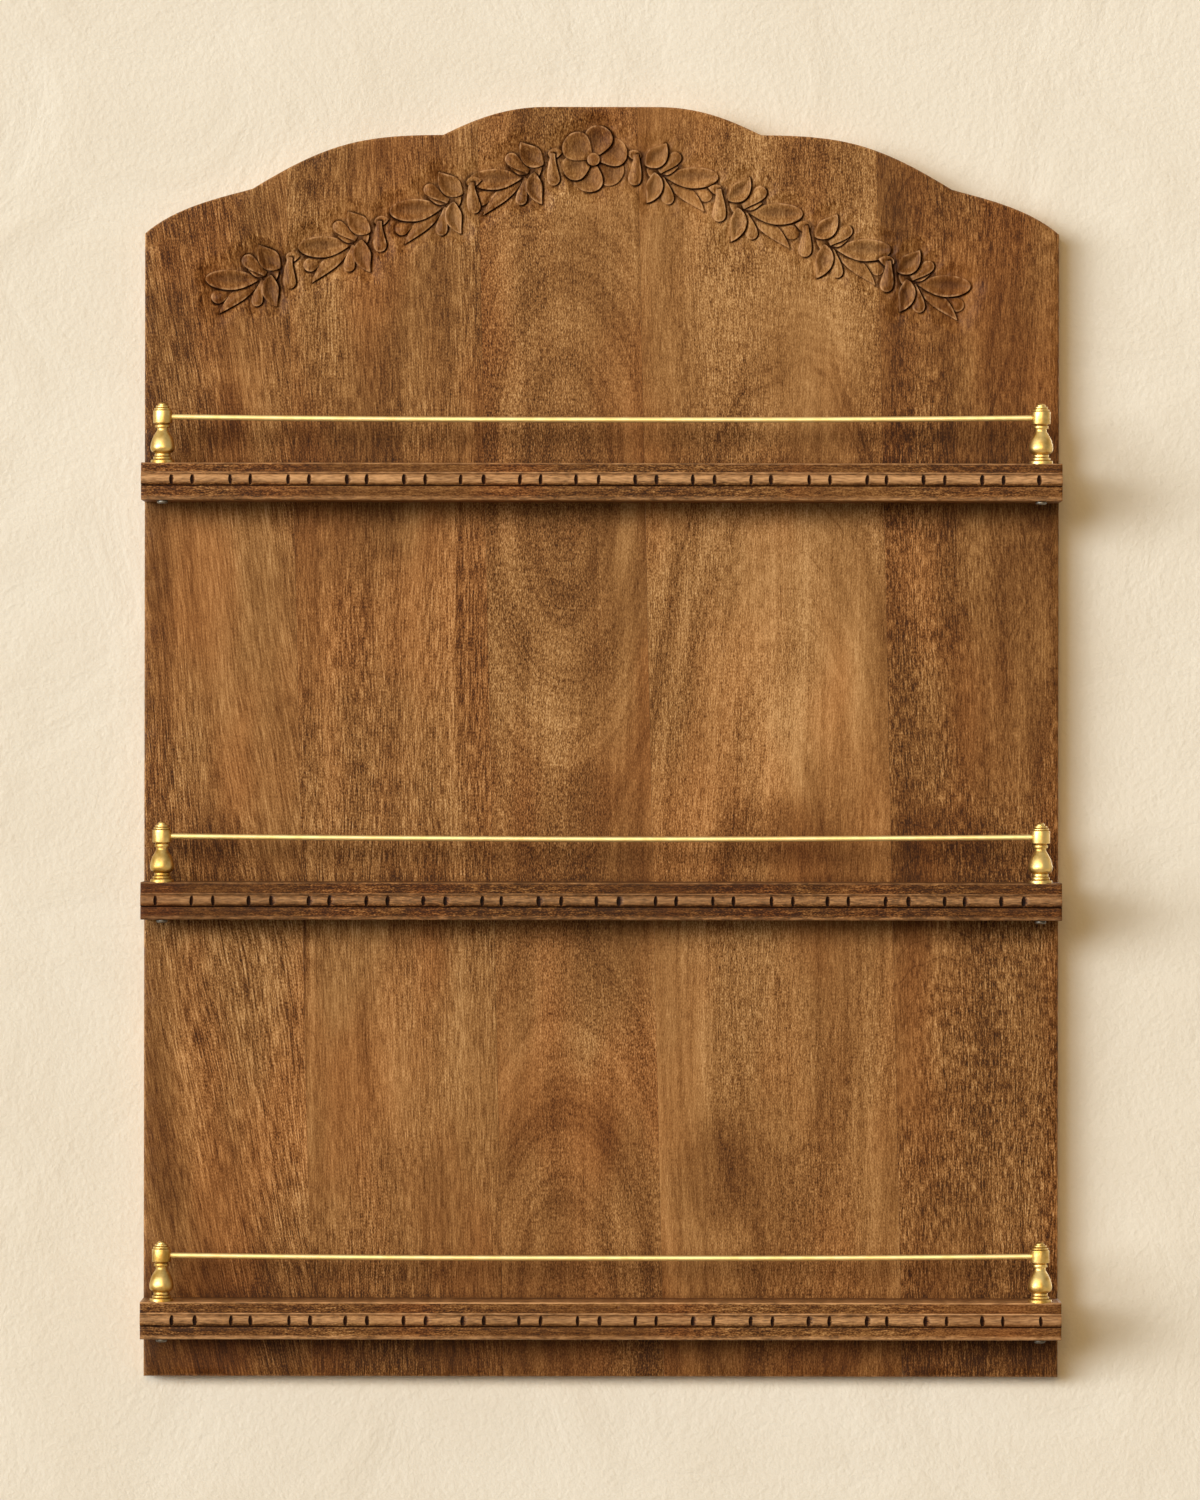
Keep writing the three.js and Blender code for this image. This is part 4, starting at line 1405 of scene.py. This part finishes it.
shelfLook = {
    "grain": "across", "tint": paint(255, 200, 160), "lean": 0.0, "wander": 0.004,
    "streaks": 0.3, "cloud": 0.3, "flecks": 0.8, "fleckLength": 7, "zones": 0.2, "rings": 0.1,
    "heartAt": 0.05, "heartDepth": 0.1, "flameAt": 0.0, "flameLength": 3.0, "flameDepth": 0.02,
    "branches": (),
    "patches": (),
}
shelfTones = {
    "upper": {"seed": 11, "tone": -0.2},
    "middle": {"seed": 12, "tone": -0.34},
    "lower": {"seed": 13, "tone": -0.2},
}


metalCells = {"mottle": 90, "fine": 900}     # to the metre


def metalMaterial(name, look):
    shader = newMaterial(name)
    place = shader.place()
    mottle = shader.noise(shader.scaled(place, metalCells["mottle"]), 3.0, 0.6)
    fine = shader.noise(shader.scaled(place, metalCells["fine"]), 2.0, 0.6)
    share = shader.ease(mottle, 0.35, 0.7)
    colour = shader.mixColour(share, look["bright"], look["aged"])
    roughness = look["roughness"] + (mottle - 0.5) * 0.16 + (fine - 0.5) * 0.06
    height = mottle * 0.6 + fine * 0.4
    normal = shader.bump(look["bump"], 0.2 * mm, height)
    sockets = {"Base Color": colour, "Metallic": 1.0, "Roughness": roughness, "Normal": normal}
    return shader.finish(shader.node("BsdfPrincipled", None, sockets))


metalLooks = {
    "gallery": {
        "bright": paint(226, 196, 126), "aged": paint(176, 138, 66), "roughness": 0.37, "bump": 0.05,
    },
    "rail": {
        "bright": paint(247, 226, 164), "aged": paint(236, 208, 140), "roughness": 0.5, "bump": 0.03,
    },
    "hanger": {
        "bright": paint(204, 172, 104), "aged": paint(160, 130, 76), "roughness": 0.42, "bump": 0.3,
    },
    "steel": {
        "bright": paint(128, 124, 116), "aged": paint(84, 78, 70), "roughness": 0.46, "bump": 0.25,
    },
}


# Making the shelf

brass = metalMaterial("aged_brass", metalLooks["gallery"])
railBrass = metalMaterial("drawn_brass", metalLooks["rail"])
stampedBrass = metalMaterial("stamped_brass", metalLooks["hanger"])
zinc = metalMaterial("zinc_plate", metalLooks["steel"])

faceSet = facePoints()
print("back:", len(faceSet), "points in its face,", len(motifs), "carved shapes")
for number, look in enumerate(boardLooks):
    wood = woodMaterial("back_wood_" + str(number + 1), {"grain": "up", **look})
    made = buildBoard(number, wood, faceSet)
    print("board", number + 1, len(made.data.vertices), "points")

for place, own in shelfTones.items():
    wood = woodMaterial("shelf_wood_" + place, {**shelfLook, **own})
    made = buildShelf(place, wood)
    print("shelf", place, len(made.data.vertices), "points")
    buildRail(place, railBrass)
    for hand in ("left", "right"):
        buildPost(place, hand, brass)
        buildScrew("post", "post_screw_" + place + "_" + hand, zinc)
    for number in range(len(boardNames)):
        buildScrew("shelf", "shelf_screw_" + place + "_" + str(number + 1), zinc)

for hand in ("left", "right"):
    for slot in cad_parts["hanger_" + hand].material_slots:
        slot.material = stampedBrass
    for end in ("lower", "upper"):
        buildScrew("hanger", "hanger_screw_" + hand + "_" + end, zinc)
print("galleries, screws and hangers done")


# The wall behind and the floor below, pale and plain, both seen from one side only

stage = {
    "wallColour": paint(241, 235, 221),
    "floorColour": paint(238, 230, 214),
    "wallSize": 9.0,
    "wallGap": 0.6 * mm,
    "floorLevel": -0.75,
    "shadeColour": paint(205, 186, 156),
    "shadeMost": 0.15,
    "trowelCells": 9,                        # to the metre, as the next two
    "gritCells": 220,
    "broadCells": 2.2,
    "gritShare": 0.2,
    "bumpDepth": 6.5 * mm,
}


def stageMaterial(name, colour, returned):   # returned is the share of light it gives back
    shader = newMaterial(name)
    place = shader.place()
    trowel = shader.noise(shader.scaled(place, stage["trowelCells"]), 6.0, 0.6, 0.8)
    grit = shader.noise(shader.scaled(place, stage["gritCells"]), 2.0, 0.6)
    broad = shader.noise(shader.scaled(place, stage["broadCells"]), 3.0, 0.55)
    shade = shader.ease(trowel * 0.5 + broad * 0.5, 0.36, 0.64, 0.0, stage["shadeMost"])
    mixed = shader.mixColour(shade, colour, stage["shadeColour"])
    height = trowel + grit * stage["gritShare"]
    normal = shader.bump(0.5, stage["bumpDepth"], height)
    face = shader.node("BsdfDiffuse", None, {"Color": mixed, "Normal": normal})
    grey = [share * returned for share in colour[:3]] + [1.0]
    dim = shader.node("BsdfDiffuse", None, {"Color": grey, "Normal": normal})
    face = shader.blend(shader.ray("Is Diffuse Ray"), face, dim)
    behind = shader.node("NewGeometry", None, None, "Backfacing")
    clear = shader.node("BsdfTransparent", None, None)
    return shader.finish(shader.blend(behind, face, clear))


def addStage(name, corners, material):
    mesh = bpy.data.meshes.new(name)
    mesh.from_pydata(corners, [], [tuple(range(len(corners)))])
    sheet = addObject(name, mesh)
    mesh.materials.append(material)
    return sheet


size, gap, level = stage["wallSize"], stage["wallGap"], stage["floorLevel"]
wallCorners = [(-size, gap, level), (size, gap, level), (size, gap, size), (-size, gap, size)]
wall = addStage("wall", wallCorners, stageMaterial("plaster", stage["wallColour"], 1.0))
wall.visible_shadow = False
floorCorners = [(-size, -size, level), (size, -size, level), (size, size, level), (-size, size, level)]
addStage("floor", floorCorners, stageMaterial("pale_floor", stage["floorColour"], 0.2))


# Lamps and world

lamps = {                                    # turn to the left of straight ahead, and rise, in degrees
    "softbox": ({"turn": 24, "rise": 15, "strength": 0.74, "spread": 18},
                {"turn": 42, "rise": 11, "strength": 1.07, "spread": 20},
                {"turn": 59, "rise": 5, "strength": 1.3, "spread": 25}),
    "softboxColour": paint(246, 251, 255),
    "frontColour": paint(255, 218, 160),
    "front": {"turn": 3, "rise": 13, "strength": 0.79, "spread": 20},
    "back": {"turn": 205, "rise": 8, "strength": 2.6, "spread": 30},
    "ambientAbove": 0.22,
    "ambientBelow": 0.05,
    "ambientColour": paint(255, 218, 160),
    "pale": 0.95,                            # where the world is seen or mirrored
    "paleFarSide": 0.5,                      # and mirrored from the right
    "paleColour": paint(250, 247, 242),
}


def addSun(name, colour, turn, rise, strength, spread):
    data = bpy.data.lights.new(name, "SUN")
    data.color = colour[:3]
    data.energy = strength
    data.angle = math.radians(spread)
    lamp = addObject(name, data)
    turn, rise = math.radians(turn), math.radians(rise)
    flat = math.cos(rise)
    toLamp = Vector((-math.sin(turn) * flat, -math.cos(turn) * flat, math.sin(rise)))
    lamp.rotation_euler = toLamp.to_track_quat("Z", "Y").to_euler()


def addWorld():                              # dim on the shelf, pale where it is seen or reflected
    world = bpy.data.worlds.new("pale_room")
    bpy.context.scene.world = world
    shader = Shader(world)
    x, _, z = shader.axes(shader.node("TexCoord", None, None, "Generated"))
    ambient = shader.ease(z, -0.25, 0.45, lamps["ambientBelow"], lamps["ambientAbove"])
    ambient = shader.node("Background", None, {"Color": lamps["ambientColour"], "Strength": ambient})
    side = shader.ease(x, -0.2, 0.75, lamps["pale"], lamps["paleFarSide"])
    mirror = shader.node("Background", None, {"Color": lamps["paleColour"], "Strength": side})
    pale = shader.node("Background", None, {"Color": lamps["paleColour"], "Strength": lamps["pale"]})
    light = shader.blend(shader.ray("Is Glossy Ray"), ambient, mirror)
    light = shader.blend(shader.ray("Is Camera Ray"), light, pale)
    light = shader.blend(shader.ray("Is Transmission Ray"), light, pale)
    shader.finish(light, "OutputWorld")


for number, lamp in enumerate(lamps["softbox"]):
    addSun("softbox_" + str(number + 1), lamps["softboxColour"], **lamp)
addSun("front_light", lamps["frontColour"], **lamps["front"])
addSun("back_light", lamps["softboxColour"], **lamps["back"])
addWorld()


# Camera: square to the back, as the photograph was taken

camera = {
    "place": (-0.001, -6.222, -0.006),
    "roll": -0.081,                          # degrees
    "focalPixels": 8613.7,
    "frameHeight": 1500,
    "sensor": 36.0,
}


def addCamera():
    data = bpy.data.cameras.new("camera")
    data.sensor_fit = "VERTICAL"
    data.sensor_height = camera["sensor"]
    data.lens = camera["focalPixels"] / camera["frameHeight"] * camera["sensor"]
    data.clip_end = 60
    made = addObject("camera", data)
    made.location = camera["place"]
    made.rotation_euler = (math.pi / 2, math.radians(camera["roll"]), 0)
    bpy.context.scene.camera = made


addCamera()
bpy.context.scene.view_settings.view_transform = "Standard"
